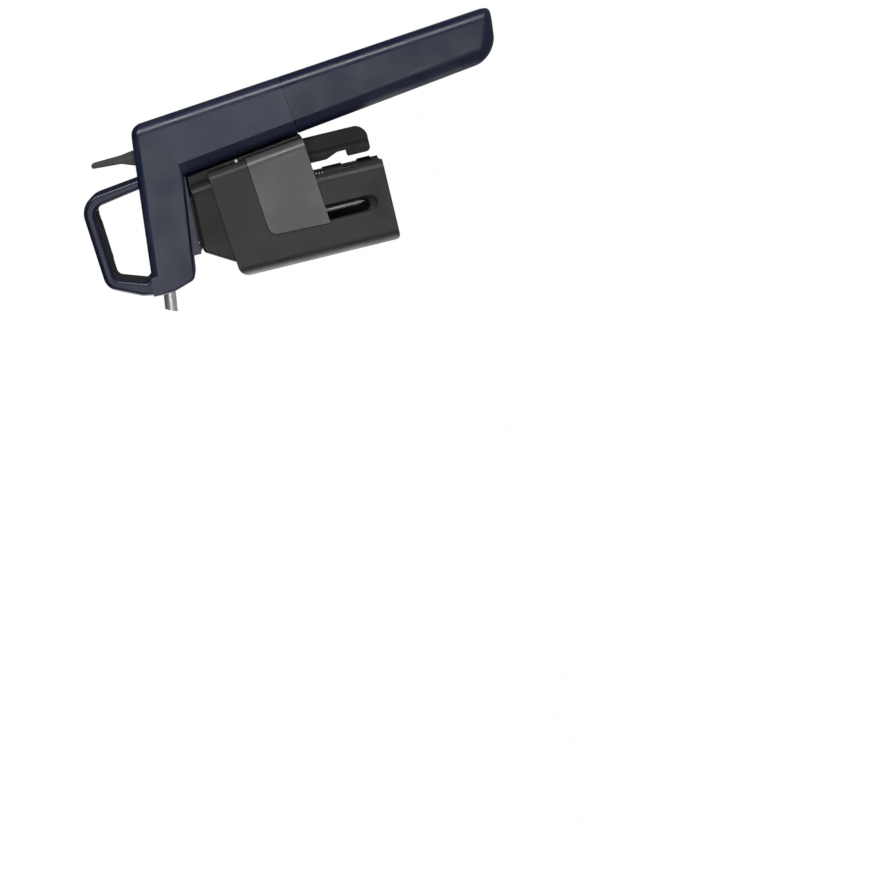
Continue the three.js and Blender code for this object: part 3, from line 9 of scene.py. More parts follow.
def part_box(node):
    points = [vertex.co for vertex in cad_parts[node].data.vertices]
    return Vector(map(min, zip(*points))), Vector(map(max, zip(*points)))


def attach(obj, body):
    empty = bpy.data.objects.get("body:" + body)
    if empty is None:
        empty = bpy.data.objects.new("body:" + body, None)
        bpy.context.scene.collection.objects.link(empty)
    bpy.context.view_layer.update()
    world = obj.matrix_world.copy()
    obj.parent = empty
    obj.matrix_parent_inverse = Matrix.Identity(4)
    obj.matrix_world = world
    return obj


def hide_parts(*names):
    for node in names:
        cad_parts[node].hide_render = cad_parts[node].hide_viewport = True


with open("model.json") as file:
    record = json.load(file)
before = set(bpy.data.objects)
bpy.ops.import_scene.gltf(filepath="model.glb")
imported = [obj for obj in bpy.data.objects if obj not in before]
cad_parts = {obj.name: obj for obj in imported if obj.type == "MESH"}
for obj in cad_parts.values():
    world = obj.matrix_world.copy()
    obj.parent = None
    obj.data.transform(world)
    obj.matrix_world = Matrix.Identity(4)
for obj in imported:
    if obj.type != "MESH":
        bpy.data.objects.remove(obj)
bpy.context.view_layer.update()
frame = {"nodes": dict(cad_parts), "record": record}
scene = bpy.context.scene

# Sizes below are in millimetres, as in the part's source, and become metres when a piece is placed.
MM = 0.001

# Fits, and how far a cutting form runs past what it cuts
SEAT_GAP = 0.3
RUNNING_GAP = 0.5
OVERRUN = 2
FAR = 90

# Smoothness, and the small bevels that break an edge
CORNER_STEPS = 10
EDGE_STEPS = 7
ROUND_STEPS = 72
PIN_STEPS = 36
ARM_STEPS = 16
END_STEPS = 12
RIB_SIDES = 10
COIL_STEPS = 28
WIRE_SIDES = 12
FILLET_SHARE = 0.49
FILLET_LEAST = 0.05
MITRE_LEAST = 0.2
FORM_WELD = 1e-4
FORM_SLIVER = 1e-5
PIECE_WELD = 2e-3
PIECE_SLIVER = 1e-3
FLAT_ANGLE = 0.25
BREAK_STEPS = 2
NORMAL_WEIGHT = 80
SHARP_ANGLE = 32
ARM_SHARP_ANGLE = 15
NODE_SHARP_ANGLE = 38
HEAD_BREAK = 0.12
SHELL_BREAK = 0.16
PAD_BREAK = 0.3
RAIL_BREAK = 0.1
PIN_BREAK = 0.08

# Studio, in metres and watts
LENS = 85.678
CAMERA_PLACE = (0.092, -1.056, -0.013)
CAMERA_RIGHT = (-0.2276018, -0.09767158, -0.96884348)
CAMERA_UP = (0.95205041, 0.18657523, -0.24246588)
CAMERA_FORWARD = (-0.20444422, 0.9775735, -0.05052341)
FLOOR_SIDE = 4
FLOOR_HEIGHT = -0.36
FLOOR_GLOW = 1.06
FLOOR_MIRRORED_GLOW = 0.2
FLOOR_GLOW_SHARE = 0.92
SKY_STRENGTH = 0.3
MIRRORED_WAY = (1, -0.35, 0)
MIRRORED_FROM = (-1.05, -0.75)
MIRRORED_STRENGTH = (6.0, 0.03)
LAMP_AIM = (0.02, 0, -0.05)
LAMPS = [("front", (-0.28, -1.47, -0.12), 0.8, 0.8, 6, True),
         ("strip", (0.9, -0.75, -0.05), 0.16, 1.3, 14.5, True),
         ("back", (0.35, 1.0, 0.35), 0.8, 0.8, 4, False),
         ("side", (-1.0, 0.15, 0.1), 0.6, 0.8, 2, False)]

# Finishes: the drift of tone, and how much paler sharp convex edges turn
DRIFT_SCALE = 55
PALE_EDGE_FROM = 0.54
PALE_EDGE_TO = 0.66
PALE_EDGE_SHARE = 0.45

# Long arm and cup
ARM_FOOT_X = 51.4
ARM_LEAN = math.radians(6.05)
ARM_TAPER = math.radians(0.95)
ARM_WIDTH = 30
ARM_DEPTH = 29
ARM_INNER_BEVEL = 7
ARM_INNER_CHEEK = 9
ARM_INNER_ROUND = 18
BEVEL_STEP = 1
BEVEL_DROP = 3.6
ARM_OUTER_ROUND = 5.6
CREASE_ROUND = 0.3
CREASE_SHARE = 0.15
ARM_LENGTH = 143
ARM_SEAM = 33
TIP_INNER_ROUND = 11
TIP_OUTER_ROUND = 3.6
TIP_CHEEK_ROUND = 5.5
TIP_RISE = 5
CAPSULE_BORE = 11.3
CAPSULE_ROOF = 11.3
THREAD_BORE = 12.9
THREAD_IN_HEAD = 10.3
CUP_CUSHION_BORE = 8
CUP_FLOOR = 137
CUP_CUSHION_TOP = 134.1
THREAD_FOOT = 45.3
SPIGOT_SHARE = 0.955
SPIGOT_RISE = 0.22

# Short arm
HEAD_TOP = 45.2
TOP_SLOPE = math.radians(6.5)
HEAD_HEIGHT = 22.9
CHIN_HEIGHT = 21.6
CHIN_X = -16.9
CHIN_ROUND = 4
HEAD_EDGE = 1.5
CROWN_EDGE = 3.8
HEEL_INNER_ROUND = 3.8
HEEL_OUTER_ROUND = 4
HEEL_CHEEK_ROUND = 3.8
HEAD_REACH = 20.8
BOSS_FLOOR = 26.6
BOSS_HEIGHT = 11
BOSS_REACH = 5.6
BOSS_DEPTH = 23
HUB_BORE = 6.3
HUB_ROOF = 4.3
HUB_NECK_BORE = 4.6
HUB_NECK_ROOF = 15.7

# Loop handle
LOOP_SPAN = 58.1
LOOP_RISE = 30
LOOP_DEPTH = 29
LOOP_EDGE = 2.2
LOOP_SEAM = 0.02
LINING = 0.5
LINING_DEPTH = 20
LINED_SHARE = 0.8
GRIP_SHARE = 0.51
GRIP_HALF = 10.3
GRIP_IN = 1.6
GRIP_OUT = 0.8
GRIP_DEPTH = 19
GRIP_EDGE = 0.5
# The loop's outer corners, then its window's: along the span, up the rise, and the corner's radius
LOOP_SHARES = [(1.024, -0.3, 0), (0.942, 1.013, 0.18), (0.167, 0.938, 0.14), (0.03, 0.383, 0.15),
               (0, 0.06, 0), (0, -0.3, 0), (0.172, -0.3, 0), (0.172, 0.187, 0), (0.139, 0.28, 0.03),
               (0.227, 0.763, 0.07), (0.849, 0.817, 0.09), (0.943, -0.3, 0)]

# Spout, trigger and valve
SPOUT_HEIGHT = 47.3
SPOUT_RISE = math.radians(9)
SPOUT_RADIUS = 3.1
SPOUT_BORE = 2.2
SPOUT_OUT = 9.7
SPOUT_CUT = math.radians(-16)
SPOUT_CUT_SPARE = 6
SPOUT_IN = 15
SPOUT_SEAL = 2.1
SPOUT_LIP = 0.25
TRIGGER_X = 47.4
TRIGGER_HALF = 3.5
TRIGGER_BOSS = 3.6
TRIGGER_TURN = math.radians(10)
TRIGGER_DEPTH = 12
TRIGGER_EDGE = 0.5
TRIGGER_SHOULDER_HEIGHT = 48
TRIGGER_WAIST_HEIGHT = 54
TRIGGER_WAIST_HALF = 1.9
TRIGGER_TIP_HEIGHT = 68.6
TRIGGER_TIP_HALF = 1.2
TRIGGER_TIP_ROUND = 0.9
TRIGGER_PIN_BORE = 1.6
TRIGGER_PIN_END = 10
PIVOT_HEIGHT = 30
VALVE_HEIGHT = 36.2
VALVE_START = 9.7
VALVE_BORE = 4.8
VALVE_REACH = 54

# Guide rail
RAIL_INNER_X = 24.7
RAIL_OUTER_X = 37
RAIL_DEPTH = 12
RAIL_EDGE = 0.35
RAIL_END = 67.4
RAIL_END_ROUND = 5.5
HOOK_STEP = 0.8
HOOK_TOP = 55.6
HOOK_ROUND = 2.4
HOOK_LIP_ROUND = 0.4
NOTCH_STEP = 2.4
NOTCH_TOP = 50.8
NOTCH_ROUND = 0.8
THROAT_TOP = 44.9
THROAT_ROUND = 2
TENON = (25.2, 29)
TENON_HALF = 4
TENON_TOP = 32
GROOVE = (28.3, 30.1)
GROOVE_FLOOR = 5.1
GROOVE_ENDS = (-75, 16)
RAIL_PIN = (27.1, 29.3)
RAIL_PIN_BORE = 1.1

# Clamp: collar and spine
COLLAR_TOP = 25
COLLAR_TILT = math.radians(2.6)
COLLAR_TAIL_STEP = 3
COLLAR_GAP = 0.15
COLLAR_DEPTH = 41
COLLAR_ROUND = 5
COLLAR_EDGE = 1.5
COLLAR_NOSE_TOP = 4.3
COLLAR_NOSE_FOOT = 12.9
COLLAR_NOSE_ROUND = 3
COLLAR_BOSS = 12
COLLAR_BOSS_ENDS = (7.9, 12.8)
NEEDLE_BORE = 1.8
BUSH_BORE = 3.8
BUSH_DEPTH = 6.3
SCREW_Y = 9
SCREW_BORE = 1.5
SCREW_LENGTH = 16.2
SCREW_HEAD_BORE = 2.8
SCREW_HEAD_LENGTH = 5.6
GASKET_HALF = 18.7
GASKET_NOSE_X = 2.9
GASKET_BORE = 3.5
GASKET_THICKNESS = 0.8
RIB_COUNT = 21
RIB_RADIUS = 0.38
RIB_INSET = 0.4
RIB_SINK = 0.02
SPINE_DEPTH = 20
SPINE_EDGE = 0.9
SPINE_INNER_X = 17.5
SPINE_FOOT = 71
SPINE_FOOT_PLATE = 1.2
SPINE_FOOT_ROUND = 0.5
SPINE_PLATE = 2.7
SPINE_PLATE_TOP = 37.4
SPINE_PLATE_ROUND = 1
SPINE_SIDE_ROUND = 2
SPINE_GAP = 0.45
SPINE_NOTCH_HALF = 10.3
CHANNEL_HALF = 6.5
CHANNEL_FLOOR = 23.4
CHANNEL_END = 37.5
CHANNEL_OPEN_X = 37
CHANNEL_OPEN_TOP = 26.4
TONGUE = (28.7, 29.7)
TONGUE_REACH = (5.6, 7.5)
TONGUE_ENDS = (-34.4, 10)
RIVET = (34.6, -1.1)
RIVET_BORE = 1
RIVET_START = 7

# Clamp: shells, plates and pads
SHELL_NOSE_X = 21.1
SHELL_HEEL_X = 19.4
SHELL_HEEL_ROUND = 5
SHELL_DEPTH = 44
SHELL_WALL = 2.4
SHELL_NOSE_ROUND = 6.5
SHELL_SHOULDER_ROUND = 6
SHELL_FOOT = 71
SHELL_FOOT_ROUND = 2.6
SHELL_EDGE = 0.8
SHELL_ROOF_X = 13.1
SHELL_BACK_GAP = 4.4
SHELL_HEEL_GAP = 2.6
TAIL_X = 33.9
TAIL_LEAN = math.radians(6.5)
TAIL_ROUND = 4.5
SEAM_NOSE = 10.2
SEAM_TAIL = 13.8
SLOT_X = 0
SLOT_WIDTH = 6.6
SLOT_FOOT = 60
SLOT_TOP = 34
FLARE_TOP = 30
FLARE_STEPS = ((-22.2, 1.6, 4.8), (-21.8, 0.9, 3.9), (-21.2, 0.4, 2.7), (-19.5, 0, 0))
PLATE_PROUD = 0.5
PLATE_THICKNESS = 1.6
PLATE_ROUND = 4.6
PLATE_NOSE_X = 3.9
PLATE_TOP_NOSE = 8.7
PLATE_TOP_DROP = 2.9
PLATE_FOOT_X = 5
PLATE_FOOT_NOSE = 38.9
PLATE_FOOT_TAIL = 35.4
PLATE_FOOT_DROP = 3.5
PLATE_SPARE = 6
PAD_HALF = 13
PAD_BACK = 19.3
PAD_FRONT = 9
PAD_ENDS = (-66, -38)
PAD_BORE = 14.6
PAD_WINDOW_HALF = 3.8
HINGE_X = 18.1
HINGE_Y = 13.2
HINGE_BORE = 1.5
BARREL_RADIUS = 2.3
KNUCKLE_TOPS = (-8, -42)
KNUCKLE = 10
LUG_TOPS = (8, -27, -60)
LUG = 7
WEB_HALF = 1.2
WEB_START = 18.6
LUG_WEB_END = 9

# Wound wire: radius, wire radius, turns and height
HINGE_COIL = (1.75, 0.3, 4.0, 6.0)
HINGE_COIL_FOOT = -41.1
VALVE_COIL = (2.15, 0.25, 5.0, 15.6)
THREAD_TURNS = (12.45, 0.16, 12.0, 18.0)
THREAD_TURNS_FOOT = -43
THREAD_RING = (12.4, 11.4)
THREAD_RING_ENDS = (-45, -23)
THREAD_RING_LIP = 0.3


# The camera, floor and light

def add_camera():
    """The photograph's view, found from the piercing line and the arm's outline."""
    data = bpy.data.cameras.new("photo_view")
    data.sensor_width = 36
    data.lens = LENS
    data.clip_start = 0.01
    camera = bpy.data.objects.new("photo_view", data)
    turn = Matrix((Vector(CAMERA_RIGHT), Vector(CAMERA_UP), -Vector(CAMERA_FORWARD))).transposed()
    camera.matrix_world = Matrix.Translation(CAMERA_PLACE) @ turn.to_4x4()
    scene.collection.objects.link(camera)
    scene.camera = camera


def lamp(name, place, width, height, watts, mirrored_in):
    data = bpy.data.lights.new(name, "AREA")
    data.shape = "RECTANGLE"
    data.size = width
    data.size_y = height
    data.energy = watts
    light = bpy.data.objects.new(name, data)
    light.visible_glossy = mirrored_in
    turn = (Vector(LAMP_AIM) - Vector(place)).to_track_quat("-Z", "Y")
    light.matrix_world = Matrix.Translation(place) @ turn.to_matrix().to_4x4()
    scene.collection.objects.link(light)


def added(nodes, kind, values=None, **settings):
    """A new node with its settings and its own input values."""
    node = nodes.new(kind)
    for name, value in settings.items():
        setattr(node, name, value)
    for name, value in (values or {}).items():
        node.inputs[name].default_value = value
    return node


def seen_white(nodes, links):
    """1 for the eye and for reflections, 0 for the light that falls on the object."""
    path = nodes.new("ShaderNodeLightPath")
    total = path.outputs["Is Camera Ray"]
    for other in ("Is Glossy Ray", "Is Transmission Ray"):
        either = added(nodes, "ShaderNodeMath", operation="MAXIMUM")
        links.new(total, either.inputs[0])
        links.new(path.outputs[other], either.inputs[1])
        total = either.outputs[0]
    return total


def blended(nodes, links, share, first, second):
    """Two shaders mixed by a share."""
    mix = nodes.new("ShaderNodeMixShader")
    links.new(share, mix.inputs["Fac"])
    links.new(first.outputs[0], mix.inputs[1])
    links.new(second.outputs[0], mix.inputs[2])
    return mix


def add_world():
    """White to the eye, soft light on the object, and a bright side and a dark side in reflections."""
    world = bpy.data.worlds.new("studio")
    scene.world = world
    world.use_nodes = True
    nodes, links = world.node_tree.nodes, world.node_tree.links
    nodes.clear()
    out = nodes.new("ShaderNodeOutputWorld")
    soft = added(nodes, "ShaderNodeBackground", {"Color": (0.93, 0.95, 1, 1), "Strength": SKY_STRENGTH})
    white = added(nodes, "ShaderNodeBackground", {"Color": (1, 1, 1, 1), "Strength": 1})
    mirror = added(nodes, "ShaderNodeBackground", {"Color": (1, 1, 1, 1)})
    path = nodes.new("ShaderNodeLightPath")
    toward = nodes.new("ShaderNodeTexCoord")
    side = added(nodes, "ShaderNodeVectorMath", {1: MIRRORED_WAY}, operation="DOT_PRODUCT")
    fade = added(nodes, "ShaderNodeMapRange", {
        "From Min": MIRRORED_FROM[0], "From Max": MIRRORED_FROM[1],
        "To Min": MIRRORED_STRENGTH[0], "To Max": MIRRORED_STRENGTH[1]}, interpolation_type="SMOOTHSTEP")
    links.new(toward.outputs["Generated"], side.inputs[0])
    links.new(side.outputs["Value"], fade.inputs["Value"])
    links.new(fade.outputs["Result"], mirror.inputs["Strength"])
    seen = blended(nodes, links, path.outputs["Is Glossy Ray"], white, mirror)
    mix = blended(nodes, links, seen_white(nodes, links), soft, seen)
    links.new(mix.outputs[0], out.inputs["Surface"])


def add_floor():
    """Pale paper that keeps a faint shadow and is dim in reflections."""
    mesh = bpy.data.meshes.new("floor")
    corners = [(x * FLOOR_SIDE, y * FLOOR_SIDE, FLOOR_HEIGHT)
               for x, y in ((-1, -1), (1, -1), (1, 1), (-1, 1))]
    mesh.from_pydata(corners, [], [(0, 1, 2, 3)])
    floor = bpy.data.objects.new("floor", mesh)
    scene.collection.objects.link(floor)
    pale = bpy.data.materials.new("floor_paper")
    pale.use_nodes = True
    nodes, links = pale.node_tree.nodes, pale.node_tree.links
    nodes.clear()
    out = nodes.new("ShaderNodeOutputMaterial")
    paper = added(nodes, "ShaderNodeBsdfDiffuse", {"Color": (0.86, 0.86, 0.87, 1)})
    glow = added(nodes, "ShaderNodeEmission", {"Color": (1, 1, 1, 1)})
    path = nodes.new("ShaderNodeLightPath")
    dimmed = added(nodes, "ShaderNodeMath", {1: FLOOR_MIRRORED_GLOW - FLOOR_GLOW, 2: FLOOR_GLOW},
                   operation="MULTIPLY_ADD")
    links.new(path.outputs["Is Glossy Ray"], dimmed.inputs[0])
    links.new(dimmed.outputs[0], glow.inputs["Strength"])
    share = added(nodes, "ShaderNodeMath", {1: FLOOR_GLOW_SHARE}, operation="MULTIPLY")
    links.new(seen_white(nodes, links), share.inputs[0])
    mix = blended(nodes, links, share.outputs[0], paper, glow)
    links.new(mix.outputs[0], out.inputs["Surface"])
    mesh.materials.append(pale)


# Materials

def finish(name, colour, roughness, metallic=0.0, *, bump, pale_edge, grain=0.0003, tone=0.12, spread=0.08,
           brushed=(1, 1, 1), specular=0.5):
    """A moulded, painted or metal finish: fine grain in the relief, slow drifts of tone and gloss, and
    sharp convex edges that turn paler in patches."""
    made = bpy.data.materials.new(name)
    made.use_nodes = True
    nodes, links = made.node_tree.nodes, made.node_tree.links
    shader = nodes["Principled BSDF"]
    shader.inputs["Metallic"].default_value = metallic
    shader.inputs["Specular IOR Level"].default_value = specular
    where = nodes.new("ShaderNodeTexCoord")
    mapping = added(nodes, "ShaderNodeMapping", {"Scale": brushed})
    fine = added(nodes, "ShaderNodeTexNoise", {"Scale": 1 / grain, "Detail": 3, "Roughness": 0.6})
    slow = added(nodes, "ShaderNodeTexNoise", {"Scale": DRIFT_SCALE, "Detail": 4})
    links.new(where.outputs["Object"], mapping.inputs["Vector"])
    links.new(mapping.outputs["Vector"], fine.inputs["Vector"])
    links.new(where.outputs["Object"], slow.inputs["Vector"])

    gloss = added(nodes, "ShaderNodeMapRange", {
        "From Min": 0.3, "From Max": 0.7,
        "To Min": max(roughness - spread, 0.03), "To Max": roughness + spread})
    links.new(slow.outputs["Fac"], gloss.inputs["Value"])
    links.new(gloss.outputs["Result"], shader.inputs["Roughness"])

    drift = added(nodes, "ShaderNodeMix", {
        "A": (*[c * (1 - tone) for c in colour], 1),
        "B": (*[c * (1 + tone) for c in colour], 1)}, data_type="RGBA")
    both = added(nodes, "ShaderNodeMix", {0: 0.5}, data_type="FLOAT")
    links.new(slow.outputs["Fac"], both.inputs[2])
    links.new(fine.outputs["Fac"], both.inputs[3])
    links.new(both.outputs[0], drift.inputs["Factor"])

    # Sharp convex edges, found by pointiness, turn paler in patches set by the slow noise.
    edge = nodes.new("ShaderNodeNewGeometry")
    ramp = added(nodes, "ShaderNodeMapRange",
                 {"From Min": PALE_EDGE_FROM, "From Max": PALE_EDGE_TO, "To Max": PALE_EDGE_SHARE})
    broken = added(nodes, "ShaderNodeMath", operation="MULTIPLY")
    pale_edge_mix = added(nodes, "ShaderNodeMix", {"B": (*pale_edge, 1)}, data_type="RGBA")
    links.new(edge.outputs["Pointiness"], ramp.inputs["Value"])
    links.new(ramp.outputs["Result"], broken.inputs[0])
    links.new(slow.outputs["Fac"], broken.inputs[1])
    links.new(broken.outputs[0], pale_edge_mix.inputs["Factor"])
    links.new(drift.outputs["Result"], pale_edge_mix.inputs["A"])
    links.new(pale_edge_mix.outputs["Result"], shader.inputs["Base Color"])

    relief = added(nodes, "ShaderNodeBump", {"Strength": 1, "Distance": bump * MM})
    links.new(fine.outputs["Fac"], relief.inputs["Height"])
    links.new(relief.outputs["Normal"], shader.inputs["Normal"])
    return made


FINISHES = {
    "navy": finish("navy_satin", (0.005, 0.0078, 0.027), 0.36, specular=0.46, grain=0.00035, bump=0.010,
                   tone=0.16, pale_edge=(0.05, 0.055, 0.09)),
    "charcoal": finish("charcoal_moulding", (0.0145, 0.0145, 0.0145), 0.42, specular=0.25, bump=0.012,
                       pale_edge=(0.06, 0.06, 0.06)),
    "grey": finish("grey_plate", (0.055, 0.055, 0.055), 0.38, bump=0.008, pale_edge=(0.12, 0.12, 0.12)),
    "black": finish("black_moulding", (0.008, 0.008, 0.008), 0.3, specular=0.2, bump=0.006,
                    pale_edge=(0.03, 0.03, 0.03)),
    "rail": finish("rail_nylon", (0.015, 0.015, 0.015), 0.45, specular=0.13, bump=0.012,
                   pale_edge=(0.05, 0.05, 0.05)),
    "lever": finish("trigger_moulding", (0.040, 0.040, 0.039), 0.5, specular=0.35, bump=0.014,
                    pale_edge=(0.1, 0.1, 0.1)),
    "rubber": finish("soft_rubber", (0.0085, 0.0085, 0.008), 0.75, grain=0.0005, bump=0.03, spread=0.1,
                     pale_edge=(0.03, 0.03, 0.03)),
    "steel": finish("steel", (0.8, 0.8, 0.81), 0.42, 0.75, grain=0.0004, bump=0.0008, tone=0.06,
                    brushed=(1, 1, 0.05), pale_edge=(0.8, 0.8, 0.8)),
    "brass": finish("brass", (0.55, 0.40, 0.17), 0.28, 1.0, grain=0.0004, bump=0.005, tone=0.1,
                    pale_edge=(0.75, 0.6, 0.3)),
}


# Solid forms

def form(points, faces):
    """A closed mesh whose faces point outwards."""
    work = bmesh.new()
    corners = [work.verts.new(point) for point in points]
    for face in faces:
        work.faces.new([corners[i] for i in face])
    bmesh.ops.remove_doubles(work, verts=work.verts, dist=FORM_WELD)
    bmesh.ops.dissolve_degenerate(work, edges=work.edges, dist=FORM_SLIVER)
    bmesh.ops.recalc_face_normals(work, faces=work.faces)
    mesh = bpy.data.meshes.new("form")
    work.to_mesh(mesh)
    work.free()
    return mesh


def rounded(corners, inset=0.0, steps=CORNER_STEPS):
    """An outline from (x, y, corner radius) corners, moved into the material by inset."""
    at = [Vector(corner[:2]) for corner in corners]
    radii = [corner[2] if len(corner) > 2 else 0 for corner in corners]
    count = len(at)
    turn = 1 if sum(at[i - 1].x * at[i].y - at[i].x * at[i - 1].y for i in range(count)) > 0 else -1
    moved_in, fitted = [], []
    for i in range(count):
        into = (at[i] - at[i - 1]).normalized()
        out = (at[(i + 1) % count] - at[i]).normalized()
        first = Vector((-into.y, into.x)) * turn
        second = Vector((-out.y, out.x)) * turn
        mitre = (first + second).normalized()
        moved_in.append(at[i] + mitre * (inset / max(mitre.dot(first), MITRE_LEAST)))
        convex = (into.x * out.y - into.y * out.x) * turn > 0
        radius = max(radii[i] - inset, FILLET_LEAST) if convex else radii[i] + inset
        fitted.append(radius if radii[i] else 0)
    outline = []
    for i in range(count):
        here = moved_in[i]
        if not fitted[i]:
            outline.append(here)
            continue
        back, on = moved_in[i - 1] - here, moved_in[(i + 1) % count] - here
        half = back.angle(on) / 2
        reach = min(fitted[i] / math.tan(half), min(back.length, on.length) * FILLET_SHARE)
        radius = reach * math.tan(half)
        centre = here + (back.normalized() + on.normalized()).normalized() * (radius / math.sin(half))
        start = here + back.normalized() * reach - centre
        end = here + on.normalized() * reach - centre
        sweep = math.atan2(start.x * end.y - start.y * end.x, start.dot(end))
        for step in range(steps + 1):
            angle = sweep * step / steps
            outline.append(centre + Vector((start.x * math.cos(angle) - start.y * math.sin(angle),
                                            start.x * math.sin(angle) + start.y * math.cos(angle))))
    return outline


def loft(loops):
    """A closed solid through loops of as many points each, capped at both ends."""
    count = len(loops[0])
    points = [point for loop in loops for point in loop]
    faces = []
    for row in range(len(loops) - 1):
        for i in range(count):
            on = (i + 1) % count
            faces.append([row * count + i, row * count + on, (row + 1) * count + on, (row + 1) * count + i])
    faces.append(list(range(count)))
    faces.append([(len(loops) - 1) * count + i for i in range(count)])
    return form(points, faces)


def slab(corners, depth, edge=0.0):
    """A side view outline across the depth, with its long edges rounded."""
    half = depth / 2
    if edge:
        quarter = [math.pi / 2 * step / EDGE_STEPS for step in range(EDGE_STEPS + 1)]
        rings = [(half - edge * (1 - math.cos(a)), edge * (1 - math.sin(a))) for a in quarter]
        rings = [(-y, inset) for y, inset in rings] + [(y, inset) for y, inset in reversed(rings)]
    else:
        rings = [(-half, 0), (half, 0)]
    return loft([[(p.x, y, p.y) for p in rounded(corners, inset)] for y, inset in rings])


def prism(corners, low, high):
    """A top view outline from one height to another."""
    outline = rounded(corners)
    return loft([[(p.x, p.y, z) for p in outline] for z in (low, high)])


def block(x0, x1, y0, y1, z0, z1):
    return prism([(x0, y0), (x1, y0), (x1, y1), (x0, y1)], z0, z1)


def turned(profile, steps=ROUND_STEPS):
    """A profile of (radius, height) pairs turned about Z."""
    points, rows = [], []
    for radius, height in profile:
        ring = []
        for step in range(steps):
            if radius and step or not step:
                angle = 2 * math.pi * step / steps
                points.append((radius * math.cos(angle), radius * math.sin(angle), height))
            ring.append(len(points) - 1)
        rows.append(ring)
    faces = []
    for low, high in zip(rows, rows[1:]):
        for i in range(steps):
            on = (i + 1) % steps
            face = list(dict.fromkeys([low[i], low[on], high[on], high[i]]))
            if len(face) > 2:
                faces.append(face)
    return form(points, faces)


def rod(radius, low, high, steps=ROUND_STEPS):
    return turned([(0, low), (radius, low), (radius, high), (0, high)], steps)


def pipe(outer, inner, low, high, lip):
    """A tube with small bevels at its mouths."""
    return turned([(inner, low + lip), (inner + lip, low), (outer - lip, low), (outer, low + lip),
                   (outer, high - lip), (outer - lip, high), (inner + lip, high), (inner, high - lip),
                   (inner, low + lip)])


def turned_to(mesh, matrix):
    """The same mesh under a matrix."""
    copy = mesh.copy()
    copy.transform(matrix)
    if matrix.determinant() < 0:
        copy.flip_normals()
    return copy


def along(mesh, x, z, dx, dz):
    """Places a solid built about Z so that its Z runs from (x, z) along (dx, dz)."""
    return turned_to(mesh, Matrix.Translation((x, 0, z)) @ Matrix.Rotation(math.atan2(dx, dz), 4, "Y"))


def moved(mesh, x, y, z):
    return turned_to(mesh, Matrix.Translation((x, y, z)))


def across(radius, x, z, y0, y1):
    """A rod through the depth."""
    return turned_to(rod(radius, y0, y1, PIN_STEPS),
                     Matrix.Translation((x, 0, z)) @ Matrix.Rotation(-math.pi / 2, 4, "X"))


def mirrored(mesh):
    return turned_to(mesh, Matrix.Scale(-1, 4, (0, 1, 0)))


def plain_mesh(thing):
    """The mesh of an object with its modifiers applied."""
    bpy.context.view_layer.update()
    return bpy.data.meshes.new_from_object(thing.evaluated_get(bpy.context.evaluated_depsgraph_get()))


def worked(base, *steps):
    """Joins, cuts or keeps the common part of solids, in turn."""
    holder = bpy.data.objects.new("work", base)
    scene.collection.objects.link(holder)
    helpers = []
    for operation, mesh in steps:
        helper = bpy.data.objects.new("tool", mesh)
        scene.collection.objects.link(helper)
        helpers.append(helper)
        modifier = holder.modifiers.new("step", "BOOLEAN")
        modifier.operation = operation
        modifier.solver = "MANIFOLD"
        modifier.object = helper
    result = plain_mesh(holder)
    for helper in [holder, *helpers]:
        bpy.data.objects.remove(helper)
    return result


def join(base, *others):
    return worked(base, *[("UNION", other) for other in others])


def cut(base, *others):
    return worked(base, *[("DIFFERENCE", other) for other in others])


def common(base, *others):
    return worked(base, *[("INTERSECT", other) for other in others])


def put(name, mesh, body, material, node, crease=SHARP_ANGLE, soften=0.0):
    """Turns a form into a finished piece: clean flats, smooth rounds, crisp edges."""
    work = bmesh.new()
    work.from_mesh(mesh)
    bmesh.ops.remove_doubles(work, verts=work.verts, dist=PIECE_WELD)
    bmesh.ops.dissolve_degenerate(work, edges=work.edges, dist=PIECE_SLIVER)
    bmesh.ops.dissolve_limit(work, angle_limit=math.radians(FLAT_ANGLE), verts=work.verts,
                             edges=work.edges)
    if soften:
        sharp = [edge for edge in work.edges if len(edge.link_faces) == 2
                 and edge.calc_face_angle(0) > math.radians(crease)]
        bmesh.ops.bevel(work, geom=sharp, offset=soften, segments=BREAK_STEPS, profile=0.5,
                        affect="EDGES", clamp_overlap=True)
    clean = bpy.data.meshes.new(name)
    work.to_mesh(clean)
    work.free()
    clean.transform(Matrix.Scale(MM, 4))
    clean.shade_smooth()
    clean.set_sharp_from_angle(angle=math.radians(crease))
    piece = bpy.data.objects.new(name, clean)
    scene.collection.objects.link(piece)
    even = piece.modifiers.new("even", "WEIGHTED_NORMAL")
    even.keep_sharp = True
    even.weight = NORMAL_WEIGHT
    piece.data = plain_mesh(piece)
    piece.modifiers.clear()
    piece.data.name = name
    piece.data.materials.clear()
    piece.data.materials.append(FINISHES[material])
    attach(piece, body)
    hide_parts(node)


# Lines that several pieces follow

TO_ARM = Matrix.Translation((ARM_FOOT_X, 0, 0)) @ Matrix.Rotation(-ARM_LEAN, 4, "Y")


def arm_line(side, z):
    lean = ARM_LEAN - side * ARM_TAPER
    return ARM_FOOT_X - z * math.tan(lean) + side * ARM_WIDTH / 2 / math.cos(lean)


def top_line(x):
    return HEAD_TOP + (arm_line(1, HEAD_TOP) - x) * math.tan(TOP_SLOPE)


CORNER_X = arm_line(-1, BOSS_FLOOR)


def below_top(low, high, gap=0.0):
    """All that lies below the head's top line, lowered by a gap."""
    return [(high, top_line(high) - gap), (low, top_line(low) - gap), (low, 0), (high, 0)]


def chin_line(x):
    share = (x - CORNER_X) / (CHIN_X - CORNER_X)
    return top_line(x) - (HEAD_HEIGHT + (CHIN_HEIGHT - HEAD_HEIGHT) * share)


